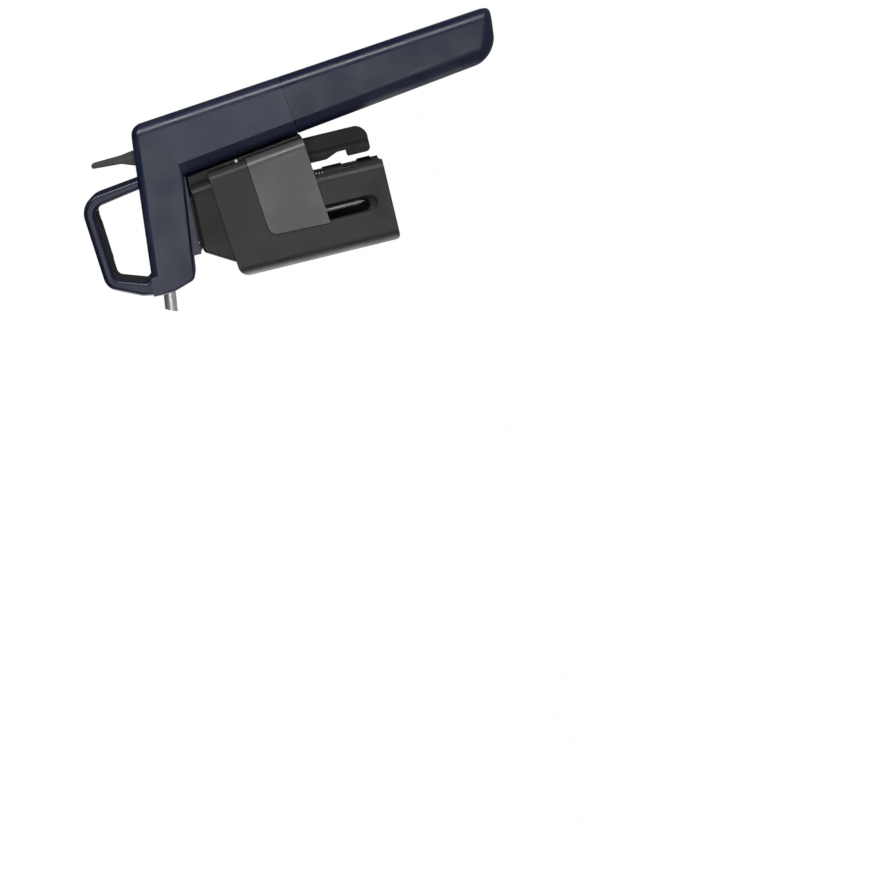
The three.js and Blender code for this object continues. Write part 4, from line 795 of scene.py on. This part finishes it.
def valve_line(x):
    return VALVE_HEIGHT + (TRIGGER_X - x) * math.tan(TOP_SLOPE)


def tail_line(z):
    return TAIL_X - z * math.tan(TAIL_LEAN)


def seam_line(x):
    return SEAM_NOSE + (x + SHELL_NOSE_X) / (tail_line(0) + SHELL_NOSE_X) * (SEAM_TAIL - SEAM_NOSE)


def plate_foot(x):
    share = (x + PLATE_FOOT_X) / (tail_line(-PLATE_FOOT_TAIL) + PLATE_FOOT_X)
    return -PLATE_FOOT_NOSE + share * PLATE_FOOT_DROP


def plate_top(x):
    return -PLATE_TOP_NOSE + (x + PLATE_NOSE_X) / (TAIL_X + PLATE_NOSE_X) * PLATE_TOP_DROP


def tilted(height, x):
    """A height on the needle, carried along the collar's tilt."""
    return height - x * math.tan(COLLAR_TILT)


def arm_section(z):
    """The arm's section at a height of its own axis: a crisp crease to the seam, softer to the tip."""
    half = ARM_WIDTH / 2 / math.cos(ARM_TAPER) + z * math.tan(ARM_TAPER)
    deep = ARM_DEPTH / 2
    crease = max(CREASE_ROUND, (-ARM_SEAM - z) * CREASE_SHARE)
    upper = [(half, deep, ARM_OUTER_ROUND), (-half + ARM_INNER_BEVEL, deep, crease),
             (-half + BEVEL_STEP, deep - BEVEL_DROP, ARM_INNER_CHEEK),
             (-half, deep - ARM_INNER_CHEEK, ARM_INNER_ROUND)]
    return upper + [(x, -y, *bend) for x, y, *bend in reversed(upper)]


def arm_loop(z, slope=0.0):
    return [Vector((p.x, p.y, z + slope * p.x)) for p in rounded(arm_section(z), steps=ARM_STEPS)]


def end_loops(z, slope, inner, outer, cheek, sign):
    """Loops that round an end of the arm over, with a round of its own on each side."""
    base = arm_loop(z, slope)
    half = max(p.x for p in base)
    deep = max(p.y for p in base)
    loops = []
    for step in range(END_STEPS + 1):
        angle = math.pi / 2 * step / END_STEPS
        loop = []
        for p in base:
            share = (p.x / half + 1) / 2
            radius = inner + (outer - inner) * share
            taken = radius * (1 - math.cos(angle))
            x = p.x * (1 - taken / half)
            y = p.y * (1 - cheek * (1 - math.cos(angle)) / deep)
            lift = radius * (1 - math.sin(angle))
            loop.append(Vector((x, y, z + slope * x - sign * lift)))
        loops.append(loop)
    return loops


# Head, handle and cup

def head_moulding():
    slope = -math.tan(TOP_SLOPE + ARM_LEAN)
    middle = (arm_line(1, HEAD_TOP) + arm_line(-1, HEAD_TOP)) / 2
    up = (TO_ARM.inverted() @ Vector((middle, 0, top_line(middle)))).z
    long_arm = turned_to(loft([
        arm_loop(-ARM_SEAM + SEAT_GAP / 2),
        *end_loops(up, slope, HEEL_INNER_ROUND, HEEL_OUTER_ROUND, HEEL_CHEEK_ROUND, 1)]), TO_ARM)
    inside, above = ARM_FOOT_X, 2 * OVERRUN
    short_arm = slab([
        (inside, top_line(inside) + above), (-HEAD_REACH + SEAT_GAP, top_line(-HEAD_REACH) + above),
        (-HEAD_REACH, SPOUT_HEIGHT + SPOUT_RADIUS), (-HEAD_REACH + SEAT_GAP, SPOUT_HEIGHT - SPOUT_RADIUS),
        (CHIN_X, chin_line(CHIN_X), CHIN_ROUND), (CORNER_X, chin_line(CORNER_X)),
        (inside, chin_line(CORNER_X))], ARM_DEPTH, HEAD_EDGE)
    crown = slab(below_top(-FAR, FAR), ARM_DEPTH, CROWN_EDGE)
    nose_end = -HEAD_REACH + LOOP_SHARES[6][0] * LOOP_SPAN - SEAT_GAP
    flush_nose = slab(below_top(-FAR, nose_end), ARM_DEPTH + OVERRUN)
    short_arm = common(short_arm, join(crown, flush_nose))
    boss = slab([(CORNER_X, BOSS_FLOOR + BOSS_HEIGHT), (-BOSS_REACH, BOSS_FLOOR + BOSS_HEIGHT),
                 (-BOSS_REACH, tilted(BOSS_FLOOR, -BOSS_REACH)), (CORNER_X, tilted(BOSS_FLOOR, CORNER_X))],
                BOSS_DEPTH)
    swing = (top_line(TRIGGER_X) - PIVOT_HEIGHT) * math.tan(TRIGGER_TURN)
    slot_start = TRIGGER_X - TRIGGER_HALF - RUNNING_GAP - swing
    slot_end = TRIGGER_X + TRIGGER_HALF + RUNNING_GAP
    slot_half = TRIGGER_DEPTH / 2 + RUNNING_GAP
    bores = [
        turned_to(rod(CAPSULE_BORE, -ARM_SEAM - OVERRUN, CAPSULE_ROOF), TO_ARM),
        turned_to(rod(THREAD_BORE, -ARM_SEAM - OVERRUN, THREAD_IN_HEAD - ARM_SEAM), TO_ARM),
        block(slot_start, slot_end, -slot_half, slot_half, PIVOT_HEIGHT - TRIGGER_BOSS - RUNNING_GAP, FAR),
        rod(HUB_BORE, BOSS_FLOOR - OVERRUN, BOSS_FLOOR + HUB_ROOF),
        rod(HUB_NECK_BORE, BOSS_FLOOR, BOSS_FLOOR + HUB_NECK_ROOF),
        spout_placed(rod(SPOUT_RADIUS + SEAT_GAP, -SPOUT_IN - SPOUT_SEAL, OVERRUN)),
        across(TRIGGER_PIN_BORE, TRIGGER_X, PIVOT_HEIGHT, -TRIGGER_PIN_END, FAR),
        across(RAIL_PIN_BORE, *RAIL_PIN, -BOSS_DEPTH / 2, FAR),
        block(TENON[0] - SEAT_GAP, TENON[1] + SEAT_GAP, -TENON_HALF - SEAT_GAP, TENON_HALF + SEAT_GAP, 0,
              TENON_TOP + SEAT_GAP),
        common(valve_placed(rod(VALVE_BORE, 0, VALVE_REACH)),
               block(0, slot_start + SEAT_GAP, -2 * VALVE_BORE, 2 * VALVE_BORE, 0, FAR)),
    ]
    body = cut(join(long_arm, short_arm, boss), *bores)
    put("head_moulding", body, "head", "navy", "head_body", crease=ARM_SHARP_ANGLE,
        soften=HEAD_BREAK)


def spout_placed(mesh):
    return along(mesh, -HEAD_REACH, SPOUT_HEIGHT, -math.cos(SPOUT_RISE), math.sin(SPOUT_RISE))


def valve_placed(mesh):
    return along(mesh, VALVE_START, valve_line(VALVE_START), math.cos(TOP_SLOPE), -math.sin(TOP_SLOPE))


def cup_moulding():
    hollow = turned([
        (0, -CUP_FLOOR), (CUP_CUSHION_BORE, -CUP_FLOOR), (CUP_CUSHION_BORE, -CUP_CUSHION_TOP),
        (CAPSULE_BORE, -CUP_CUSHION_TOP), (CAPSULE_BORE, -THREAD_FOOT), (THREAD_BORE, -THREAD_FOOT),
        (THREAD_BORE, -ARM_SEAM + 2 * OVERRUN), (0, -ARM_SEAM + 2 * OVERRUN)])
    slope = -TIP_RISE / (ARM_WIDTH - 2 * ARM_LENGTH * math.tan(ARM_TAPER))
    foot = TIP_RISE / 2 - ARM_LENGTH
    mouth = -ARM_SEAM - SEAT_GAP / 2
    spigot = [[Vector((p.x * SPIGOT_SHARE, p.y * SPIGOT_SHARE, mouth + rise)) for p in arm_loop(mouth)]
              for rise in (0, SPIGOT_RISE)]
    cup = loft([*reversed(end_loops(foot, slope, TIP_INNER_ROUND, TIP_OUTER_ROUND, TIP_CHEEK_ROUND, -1)),
                arm_loop(mouth), *spigot])
    put("cup_moulding", turned_to(cut(cup, hollow), TO_ARM), "cup", "navy", "capsule_cup",
        crease=ARM_SHARP_ANGLE)


def loop_point(x, z, radius):
    foot = top_line(-HEAD_REACH + LOOP_SPAN)
    return (-HEAD_REACH + x * LOOP_SPAN, foot + z * LOOP_RISE, radius * LOOP_SPAN)


def grip_strip(gap, edge):
    """The pad inside the loop, or its seat."""
    start, end = [Vector(loop_point(*share)[:2]) for share in LOOP_SHARES[9:11]]
    run = (end - start).normalized()
    rise = Vector((-run.y, run.x))
    middle = start.lerp(end, GRIP_SHARE)
    half, top, foot = GRIP_HALF + gap, GRIP_IN + gap, -GRIP_OUT - gap

    def at(x, z, radius):
        point = middle + run * x + rise * z
        return (point.x, point.y, radius)
    return slab([at(-half, foot, GRIP_OUT), at(half, foot, GRIP_OUT), at(half, top, 0), at(-half, top, 0)],
                GRIP_DEPTH + 2 * gap, edge)


def loop_bar():
    under = slab(below_top(-FAR, FAR, LOOP_SEAM), ARM_DEPTH + OVERRUN)
    window = [loop_point(*share) for share in LOOP_SHARES[6:]]
    lined = block(-FAR, -HEAD_REACH + LINED_SHARE * LOOP_SPAN, -LINING_DEPTH / 2, LINING_DEPTH / 2, 0, FAR)
    lining = common(cut(slab([(x, z, bend + LINING) for x, z, bend in window], LINING_DEPTH),
                        slab(rounded(window, LINING), LINING_DEPTH + OVERRUN)), lined)
    bar = cut(slab([loop_point(*share) for share in LOOP_SHARES], LOOP_DEPTH, LOOP_EDGE), under,
              grip_strip(SEAT_GAP, 0))
    put("loop_bar", bar, "head", "navy", "loop_handle")
    put("loop_grip", join(grip_strip(0, GRIP_EDGE), cut(lining, under)), "head", "rubber",
        "loop_grip_pad")


def spout_tube():
    tube = turned([(SPOUT_BORE, -SPOUT_IN), (SPOUT_RADIUS, -SPOUT_IN),
                   (SPOUT_RADIUS, SPOUT_OUT + SPOUT_CUT_SPARE), (SPOUT_BORE, SPOUT_OUT + SPOUT_CUT_SPARE),
                   (SPOUT_BORE, -SPOUT_IN)])
    wide = SPOUT_OUT
    slant = along(block(-wide, wide, -wide, wide, 0, wide), 0, SPOUT_OUT, -math.sin(SPOUT_CUT),
                  math.cos(SPOUT_CUT))
    put("spout_tube", spout_placed(cut(tube, slant)), "head", "steel", "spout",
        soften=SPOUT_LIP / 2)


def trigger_lever():
    x, half, boss, push = TRIGGER_X, TRIGGER_HALF, TRIGGER_BOSS, valve_line(TRIGGER_X)
    tip, waist = x + half / 4, x + half / 5
    lever = slab([
        (tip - TRIGGER_TIP_HALF, TRIGGER_TIP_HEIGHT, TRIGGER_TIP_ROUND),
        (waist - TRIGGER_WAIST_HALF, TRIGGER_WAIST_HEIGHT, boss),
        (x - half, TRIGGER_SHOULDER_HEIGHT, boss / 2), (x - half, push + half),
        (x - half + RUNNING_GAP, push - half), (x - boss, PIVOT_HEIGHT),
        (x - boss, PIVOT_HEIGHT - boss, boss), (x + boss, PIVOT_HEIGHT - boss, boss),
        (x + boss, PIVOT_HEIGHT), (x + half, TRIGGER_SHOULDER_HEIGHT, boss),
        (waist + TRIGGER_WAIST_HALF, TRIGGER_WAIST_HEIGHT, boss),
        (tip + TRIGGER_TIP_HALF, TRIGGER_TIP_HEIGHT, TRIGGER_TIP_ROUND)], TRIGGER_DEPTH, TRIGGER_EDGE)
    bore = across(TRIGGER_PIN_BORE, x, PIVOT_HEIGHT, -TRIGGER_DEPTH, TRIGGER_DEPTH)
    put("trigger_moulding", cut(lever, bore), "trigger_lever", "lever", "trigger")


# Rail, spine, collar and shells

def rail_blade():
    def top(x):
        return tilted(BOSS_FLOOR, x) - SEAT_GAP
    lean = ARM_LEAN + ARM_TAPER
    seat = arm_line(-1, top(RAIL_OUTER_X)) - SEAT_GAP
    meet = (ARM_FOOT_X - ARM_WIDTH / 2 / math.cos(lean) - SEAT_GAP - RAIL_OUTER_X) / math.tan(lean)
    hook, notch = RAIL_INNER_X - HOOK_STEP, RAIL_INNER_X + NOTCH_STEP
    blade = slab([
        (RAIL_INNER_X, top(RAIL_INNER_X)), (seat, top(seat)), (RAIL_OUTER_X, meet),
        (RAIL_OUTER_X, -RAIL_END, RAIL_END_ROUND), (hook, -RAIL_END, HOOK_ROUND),
        (hook, -HOOK_TOP, HOOK_LIP_ROUND), (notch, -HOOK_TOP, NOTCH_ROUND),
        (notch, -NOTCH_TOP, THROAT_ROUND), (RAIL_INNER_X, -THROAT_TOP, THROAT_ROUND)],
        RAIL_DEPTH, RAIL_EDGE)
    tenon = block(*TENON, -TENON_HALF, TENON_HALF, 0, TENON_TOP)
    grooves = [block(*GROOVE, GROOVE_FLOOR, RAIL_DEPTH, *GROOVE_ENDS),
               block(*GROOVE, -RAIL_DEPTH, -GROOVE_FLOOR, *GROOVE_ENDS)]
    bore = across(RAIL_PIN_BORE, *RAIL_PIN, -RAIL_DEPTH, RAIL_DEPTH)
    put("rail_blade", cut(join(blade, tenon), *grooves, bore), "head", "rail", "guide_rail",
        soften=RAIL_BREAK)


def tail_prism(depth, radius, inset):
    far = 2 * FAR
    corners = [(-far, -depth / 2), (0, -depth / 2, radius), (0, depth / 2, radius), (-far, depth / 2)]
    return along(prism(corners, -far, far), TAIL_X - inset, 0, -math.sin(TAIL_LEAN), math.cos(TAIL_LEAN))


def upper_form(inset):
    half, nose, bend = SHELL_DEPTH / 2 - inset, inset - SHELL_NOSE_X, SHELL_NOSE_ROUND - inset
    front = prism([(nose, -half, bend), (FAR, -half), (FAR, half), (nose, half, bend)], -FAR, FAR)
    return common(front, tail_prism(SHELL_DEPTH - 2 * inset, TAIL_ROUND - inset, inset))


def shell_form():
    half, wall, nose, heel = SHELL_DEPTH / 2, SHELL_WALL, SHELL_NOSE_X, SHELL_HEEL_X
    shoulder, bend, back = SHELL_SHOULDER_ROUND, SHELL_NOSE_ROUND, SHELL_HEEL_ROUND
    upper = common(upper_form(0), slab([
        (-nose, seam_line(-nose), shoulder), (-nose, plate_foot(-nose)), (FAR, plate_foot(FAR)),
        (FAR, seam_line(FAR))], SHELL_DEPTH + OVERRUN))
    skirt = common(
        prism([(-nose, -half, bend), (heel, -half, back), (heel, half, back), (-nose, half, bend)],
              -SHELL_FOOT, -PLATE_FOOT_TAIL),
        slab([(-nose, 0), (-nose, -SHELL_FOOT, SHELL_FOOT_ROUND), (heel, -SHELL_FOOT), (heel, 0)],
             SHELL_DEPTH, SHELL_EDGE))
    inner = common(upper_form(wall), slab([
        (-SHELL_ROOF_X, SHELL_FOOT), (-SHELL_ROOF_X, seam_line(-SHELL_ROOF_X) - wall),
        (wall - nose, seam_line(-nose) - wall, shoulder - wall), (wall - nose, plate_foot(-nose) + wall),
        (FAR, plate_foot(FAR) + wall), (FAR, SHELL_FOOT)], SHELL_DEPTH + OVERRUN))
    inner_skirt = prism([
        (wall - nose, wall - half, bend - wall), (heel - wall, wall - half, back - wall),
        (heel - wall, half - wall, back - wall), (wall - nose, half - wall, bend - wall)],
        -FAR, -PLATE_FOOT_TAIL + wall)
    return cut(join(upper, skirt), inner, inner_skirt)


def at_hinge(mesh):
    return moved(mesh, HINGE_X, -HINGE_Y, 0)


def plate_outline(gap):
    nose, foot, past = -PLATE_NOSE_X, -PLATE_FOOT_X, tail_line(-PLATE_FOOT_TAIL) + PLATE_SPARE
    return [(nose - gap, plate_top(nose) + gap, PLATE_ROUND), (foot - gap, plate_foot(foot) - PLATE_SPARE),
            (past, plate_foot(past) - PLATE_SPARE), (past, plate_top(past) + gap)]


def below_plate(gap):
    return slab([(-FAR, plate_foot(-FAR) - gap), (-FAR, -FAR), (FAR, -FAR), (FAR, plate_foot(FAR) - gap)],
                SHELL_DEPTH * 2)


def near_shell():
    back, end = SPINE_DEPTH / 2, SLOT_WIDTH / 2
    left, right = SLOT_X - end, SLOT_X + end
    slot = slab([(left, -SLOT_TOP), (left, -SLOT_FOOT, end), (right, -SLOT_FOOT, end), (right, -SLOT_TOP)],
                SHELL_DEPTH * 2)
    flare = loft([[(p.x, y, p.y) for p in rounded([
        (left - wide, -FLARE_TOP), (left - wide, -SLOT_FOOT - long, end + wide),
        (right + wide, -SLOT_FOOT - long, end + wide), (right + wide, -FLARE_TOP)])]
        for y, wide, long in FLARE_STEPS])
    recess = cut(slab(plate_outline(SEAT_GAP), SHELL_DEPTH * 2),
                 upper_form(PLATE_THICKNESS - PLATE_PROUD + SEAT_GAP), below_plate(SEAT_GAP))
    wide_foot = block(SHELL_HEEL_X - SHELL_HEEL_ROUND, FAR, -back - SHELL_BACK_GAP, 0, -PLATE_FOOT_NOSE, FAR)
    skirt_foot = block(HINGE_X - 2 * BARREL_RADIUS, FAR, -back - SHELL_HEEL_GAP, 0, -FAR, FAR)
    far_side = block(-FAR, FAR, -SEAT_GAP, FAR, -FAR, FAR)
    first, second = KNUCKLE_TOPS
    reliefs = [at_hinge(rod(BARREL_RADIUS + RUNNING_GAP, low, high)) for low, high in (
        (-FAR, second - KNUCKLE), (second, first - KNUCKLE), (first, FAR))]
    shell = cut(shell_form(), slot, flare, recess, wide_foot, skirt_foot, far_side, *reliefs)
    for top in KNUCKLE_TOPS:
        shell = join(shell, at_hinge(rod(BARREL_RADIUS, top - KNUCKLE, top)),
                     block(HINGE_X - WEB_HALF, HINGE_X + WEB_HALF, -WEB_START, -HINGE_Y, top - KNUCKLE, top))
    return cut(shell, at_hinge(rod(HINGE_BORE, -FAR, FAR)))


def near_plate():
    band = cut(common(upper_form(-PLATE_PROUD), slab(plate_outline(0), SHELL_DEPTH * 2)),
               upper_form(PLATE_THICKNESS - PLATE_PROUD))
    return cut(band, block(-FAR, FAR, -SPINE_DEPTH / 2 - SHELL_BACK_GAP, FAR, -FAR, FAR), below_plate(0))


def near_pad(has_window):
    pad = cut(block(-PAD_HALF, PAD_HALF, -PAD_BACK, -PAD_FRONT, *PAD_ENDS), rod(PAD_BORE, -SHELL_FOOT, 0))
    if not has_window:
        return pad
    return cut(pad, block(SLOT_X - PAD_WINDOW_HALF, SLOT_X + PAD_WINDOW_HALF, -SHELL_DEPTH, 0,
                          -SLOT_FOOT, 0))


def clamp_pair(name, near, far, kind, node, soften):
    """A piece on each clamp shell, the far one mirrored from its form on the near side."""
    for side, mesh in (("near", near), ("far", mirrored(far))):
        put(name.format(side), mesh, f"shell_{side}", kind, f"{node}_{side}", soften=soften)


def clamp_shells():
    shell, plate = near_shell(), near_plate()
    clamp_pair("shell_{}_moulding", shell, shell, "charcoal", "clamp_shell", SHELL_BREAK)
    clamp_pair("plate_{}_cover", plate, plate, "grey", "side_plate", SHELL_BREAK)
    clamp_pair("jaw_{}_pad", near_pad(True), near_pad(False), "rubber", "jaw_pad", PAD_BREAK)


def spine_moulding():
    top, waist, inner = COLLAR_TOP + SEAT_GAP + GASKET_THICKNESS, -PLATE_FOOT_TAIL, SPINE_INNER_X
    foot_end, top_end = arm_line(-1, waist) - SPINE_GAP, arm_line(-1, top) - SPINE_GAP
    blank = slab([
        (inner, tilted(top, inner)), (inner, -SPINE_FOOT),
        (inner + SPINE_FOOT_PLATE, -SPINE_FOOT, SPINE_FOOT_ROUND),
        (inner + SPINE_PLATE, -SPINE_PLATE_TOP, SPINE_PLATE_ROUND), (RAIL_INNER_X, waist),
        (foot_end, waist, SPINE_SIDE_ROUND), (top_end, tilted(top, top_end))], SPINE_DEPTH, SPINE_EDGE)
    half = CHANNEL_HALF
    channel = join(block(CHANNEL_FLOOR, CHANNEL_END, -half, half, -FAR, FAR),
                   block(CHANNEL_OPEN_X, FAR, -half, half, -CHANNEL_OPEN_TOP, FAR))
    near = [block(*TONGUE, *TONGUE_REACH, *TONGUE_ENDS)]
    for top in LUG_TOPS:
        near += [at_hinge(rod(BARREL_RADIUS, top - LUG, top)),
                 block(HINGE_X - WEB_HALF, HINGE_X + WEB_HALF, -HINGE_Y, -LUG_WEB_END, top - LUG, top)]
    body = join(cut(blank, channel), *near, *[mirrored(mesh) for mesh in near])
    bore = join(at_hinge(rod(HINGE_BORE, -FAR, FAR)), across(RIVET_BORE, *RIVET, -FAR, -RIVET_START))
    put("spine_moulding", cut(body, bore, mirrored(bore)), "base", "black", "clamp_spine")


def spine_notch(low):
    """Room for the spine's head in what lies on the collar."""
    return block(SPINE_INNER_X - SEAT_GAP, FAR, -SPINE_NOTCH_HALF, SPINE_NOTCH_HALF, low, FAR)


def collar_moulding():
    def seam(x):
        return seam_line(x) + COLLAR_GAP
    peak = tilted(COLLAR_TOP, -COLLAR_NOSE_TOP)
    run = COLLAR_NOSE_FOOT - COLLAR_NOSE_TOP
    foot = -COLLAR_NOSE_TOP - run * peak / (peak - seam(-COLLAR_NOSE_FOOT))
    side = slab([(-COLLAR_NOSE_TOP, peak, COLLAR_NOSE_ROUND), (foot, 0), (FAR, 0),
                 (FAR, tilted(COLLAR_TOP, FAR))], COLLAR_DEPTH, COLLAR_EDGE)
    above = slab([(-FAR, seam(-FAR)), (FAR, seam(FAR)), (FAR, FAR), (-FAR, FAR)], SHELL_DEPTH)
    collar = common(side, above, tail_prism(COLLAR_DEPTH, COLLAR_ROUND, COLLAR_TAIL_STEP))
    screw = join(rod(SCREW_BORE, 0, SCREW_LENGTH), rod(SCREW_HEAD_BORE, 0, SCREW_HEAD_LENGTH))
    screws = [moved(screw, 0, y, 0) for y in (SCREW_Y, -SCREW_Y)]
    body = cut(join(collar, rod(COLLAR_BOSS, *COLLAR_BOSS_ENDS)), spine_notch(0), rod(NEEDLE_BORE, 0, FAR),
               rod(BUSH_BORE, COLLAR_TOP - BUSH_DEPTH, FAR), *screws)
    put("collar_moulding", body, "base", "charcoal", "clamp_collar", soften=HEAD_BREAK)


# Ribs and coils in geometry nodes

def tree_with(name, inputs):
    """An empty tree with these inputs, a material and one output."""
    tree = bpy.data.node_groups.new(name, "GeometryNodeTree")
    for label, kind in {**inputs, "Material": "Material"}.items():
        tree.interface.new_socket(label, in_out="INPUT", socket_type=f"NodeSocket{kind}")
    tree.interface.new_socket("Geometry", in_out="OUTPUT", socket_type="NodeSocketGeometry")
    return tree, tree.nodes.new("NodeGroupInput")


def fed(tree, given, node, **inputs):
    """Joins inputs of a node to the named inputs of the tree."""
    for name, source in inputs.items():
        tree.links.new(given.outputs[source], node.inputs[name.replace("_", " ")])


def painted(tree, given, made):
    """Ends a tree: real geometry in the given material."""
    real = tree.nodes.new("GeometryNodeRealizeInstances")
    paint = tree.nodes.new("GeometryNodeSetMaterial")
    out = tree.nodes.new("NodeGroupOutput")
    tree.links.new(made, real.inputs["Geometry"])
    tree.links.new(real.outputs["Geometry"], paint.inputs["Geometry"])
    tree.links.new(given.outputs["Material"], paint.inputs["Material"])
    tree.links.new(paint.outputs["Geometry"], out.inputs["Geometry"])
    return tree


def rib_tree():
    """Equal upright ribs along a straight edge."""
    tree, given = tree_with("edge_ribs", {
        "Count": "Int", "Start": "Vector", "Step": "Vector", "Rib Radius": "Float", "Rib Height": "Float"})
    line = tree.nodes.new("GeometryNodeMeshLine")
    rib = added(tree.nodes, "GeometryNodeMeshCylinder", {"Vertices": RIB_SIDES})
    spread = tree.nodes.new("GeometryNodeInstanceOnPoints")
    fed(tree, given, line, Count="Count", Start_Location="Start", Offset="Step")
    fed(tree, given, rib, Radius="Rib Radius", Depth="Rib Height")
    tree.links.new(line.outputs["Mesh"], spread.inputs["Points"])
    tree.links.new(rib.outputs["Mesh"], spread.inputs["Instance"])
    return painted(tree, given, spread.outputs["Instances"])


def coil_tree():
    """A round wire wound about Z."""
    tree, given = tree_with("wound_wire", {
        "Radius": "Float", "Wire Radius": "Float", "Turns": "Float", "Height": "Float"})
    helix = added(tree.nodes, "GeometryNodeCurveSpiral", {"Resolution": COIL_STEPS})
    section = added(tree.nodes, "GeometryNodeCurvePrimitiveCircle", {"Resolution": WIRE_SIDES})
    skin = added(tree.nodes, "GeometryNodeCurveToMesh", {"Fill Caps": True})
    fed(tree, given, helix, Rotations="Turns", Start_Radius="Radius", End_Radius="Radius", Height="Height")
    fed(tree, given, section, Radius="Wire Radius")
    tree.links.new(helix.outputs["Curve"], skin.inputs["Curve"])
    tree.links.new(section.outputs["Curve"], skin.inputs["Profile Curve"])
    return painted(tree, given, skin.outputs["Mesh"])


def grown(tree, values):
    """The plain mesh that a tree makes with these inputs."""
    holder = bpy.data.objects.new("grown", bpy.data.meshes.new("grown"))
    scene.collection.objects.link(holder)
    modifier = holder.modifiers.new("grow", "NODES")
    modifier.node_group = tree
    for item in tree.interface.items_tree:
        if item.in_out == "INPUT" and item.name in values:
            modifier[item.identifier] = values[item.name]
    mesh = plain_mesh(holder)
    holder.modifiers.clear()
    bpy.data.objects.remove(holder)
    return mesh


def together(*meshes):
    """Meshes side by side in one."""
    work = bmesh.new()
    for mesh in meshes:
        work.from_mesh(mesh)
    mesh = bpy.data.meshes.new("together")
    work.to_mesh(mesh)
    work.free()
    return mesh


def ribbed_gasket():
    ribs = rib_tree()
    half, thick = GASKET_HALF, GASKET_THICKNESS
    start, end = -GASKET_NOSE_X, tail_line(COLLAR_TOP) - COLLAR_TAIL_STEP - COLLAR_ROUND
    sheet = prism([(start, -half), (end, -half), (end, half), (start, half)], 0, thick)
    pieces = [cut(sheet, spine_notch(-FAR), rod(GASKET_BORE, -FAR, FAR))]
    for side in (-1, 1):
        pieces.append(grown(ribs, {
            "Count": RIB_COUNT, "Start": (start + RIB_INSET, side * (half - RIB_SINK), thick / 2),
            "Step": ((end - start - 2 * RIB_INSET) / (RIB_COUNT - 1), 0.0, 0.0), "Rib Radius": RIB_RADIUS,
            "Rib Height": thick, "Material": FINISHES["rubber"]}))
    tilt = Matrix.Translation((0, 0, COLLAR_TOP + SEAT_GAP)) @ Matrix.Rotation(COLLAR_TILT, 4, "Y")
    put("ribbed_gasket", turned_to(together(*pieces), tilt), "base", "rubber", "collar_gasket")


def wound(coil, radius, wire, turns, height):
    return grown(coil, {"Radius": radius, "Wire Radius": wire, "Turns": turns, "Height": height,
                        "Material": FINISHES["steel"]})


def springs_and_threads():
    coil = coil_tree()
    for side, turn in (("near", 1), ("far", -1)):
        wire = moved(wound(coil, *HINGE_COIL), HINGE_X, -turn * HINGE_Y, HINGE_COIL_FOOT)
        put(f"hinge_coil_{side}", wire, "base", "steel", f"hinge_spring_{side}")
    low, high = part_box("valve_spring")
    run = Vector((math.cos(TOP_SLOPE), 0, -math.sin(TOP_SLOPE)))
    foot = (low + high) / 2 / MM - run * VALVE_COIL[-1] / 2
    wire = along(wound(coil, *VALVE_COIL), foot.x, foot.z, run.x, run.z)
    put("valve_coil", wire, "head", "steel", "valve_spring")
    thread = moved(wound(coil, *THREAD_TURNS), 0, 0, THREAD_TURNS_FOOT)
    ring = pipe(*THREAD_RING, *THREAD_RING_ENDS, THREAD_RING_LIP)
    put("thread_sleeve", turned_to(together(ring, thread), TO_ARM), "head", "steel", "thread_ring")


# Pieces that keep the CAD's own form

def dressed(node, body, kind):
    """A merged copy of a node, with smooth rounds and broken edges."""
    copy = frame["nodes"][node].data.copy()
    copy.materials.clear()
    copy.transform(Matrix.Scale(1 / MM, 4))
    put(f"{node}_finished", copy, body, kind, node, crease=NODE_SHARP_ANGLE, soften=PIN_BREAK)


def inner_pieces():
    bodies = frame["record"]["behaviour"]["bodies"]
    owner = {node: body for body, nodes in bodies.items() for node in nodes}
    kinds = {
        "steel": ["loop_stud_1", "loop_stud_2", "trigger_pin", "valve_stem", "needle", "piercing_pin",
                  "gas_capsule", "rail_cross_pin", "guide_screw_1", "guide_screw_2", "hinge_pin_near",
                  "hinge_pin_far", "spine_rivet_near", "spine_rivet_far"],
        "brass": ["valve_body", "gas_link_tube", "needle_hub", "regulator_body", "needle_bush"],
        "rubber": ["spout_seal", "capsule_seal", "capsule_cushion", "lip_pad"],
        "black": ["neck_guide"],
    }
    for kind, nodes in kinds.items():
        for node in nodes:
            dressed(node, owner[node], kind)


add_camera()
add_world()
add_floor()
for lamp_values in LAMPS:
    lamp(*lamp_values)
head_moulding()
cup_moulding()
loop_bar()
spout_tube()
trigger_lever()
rail_blade()
spine_moulding()
collar_moulding()
clamp_shells()
ribbed_gasket()
springs_and_threads()
inner_pieces()

scene.view_settings.view_transform = "Standard"
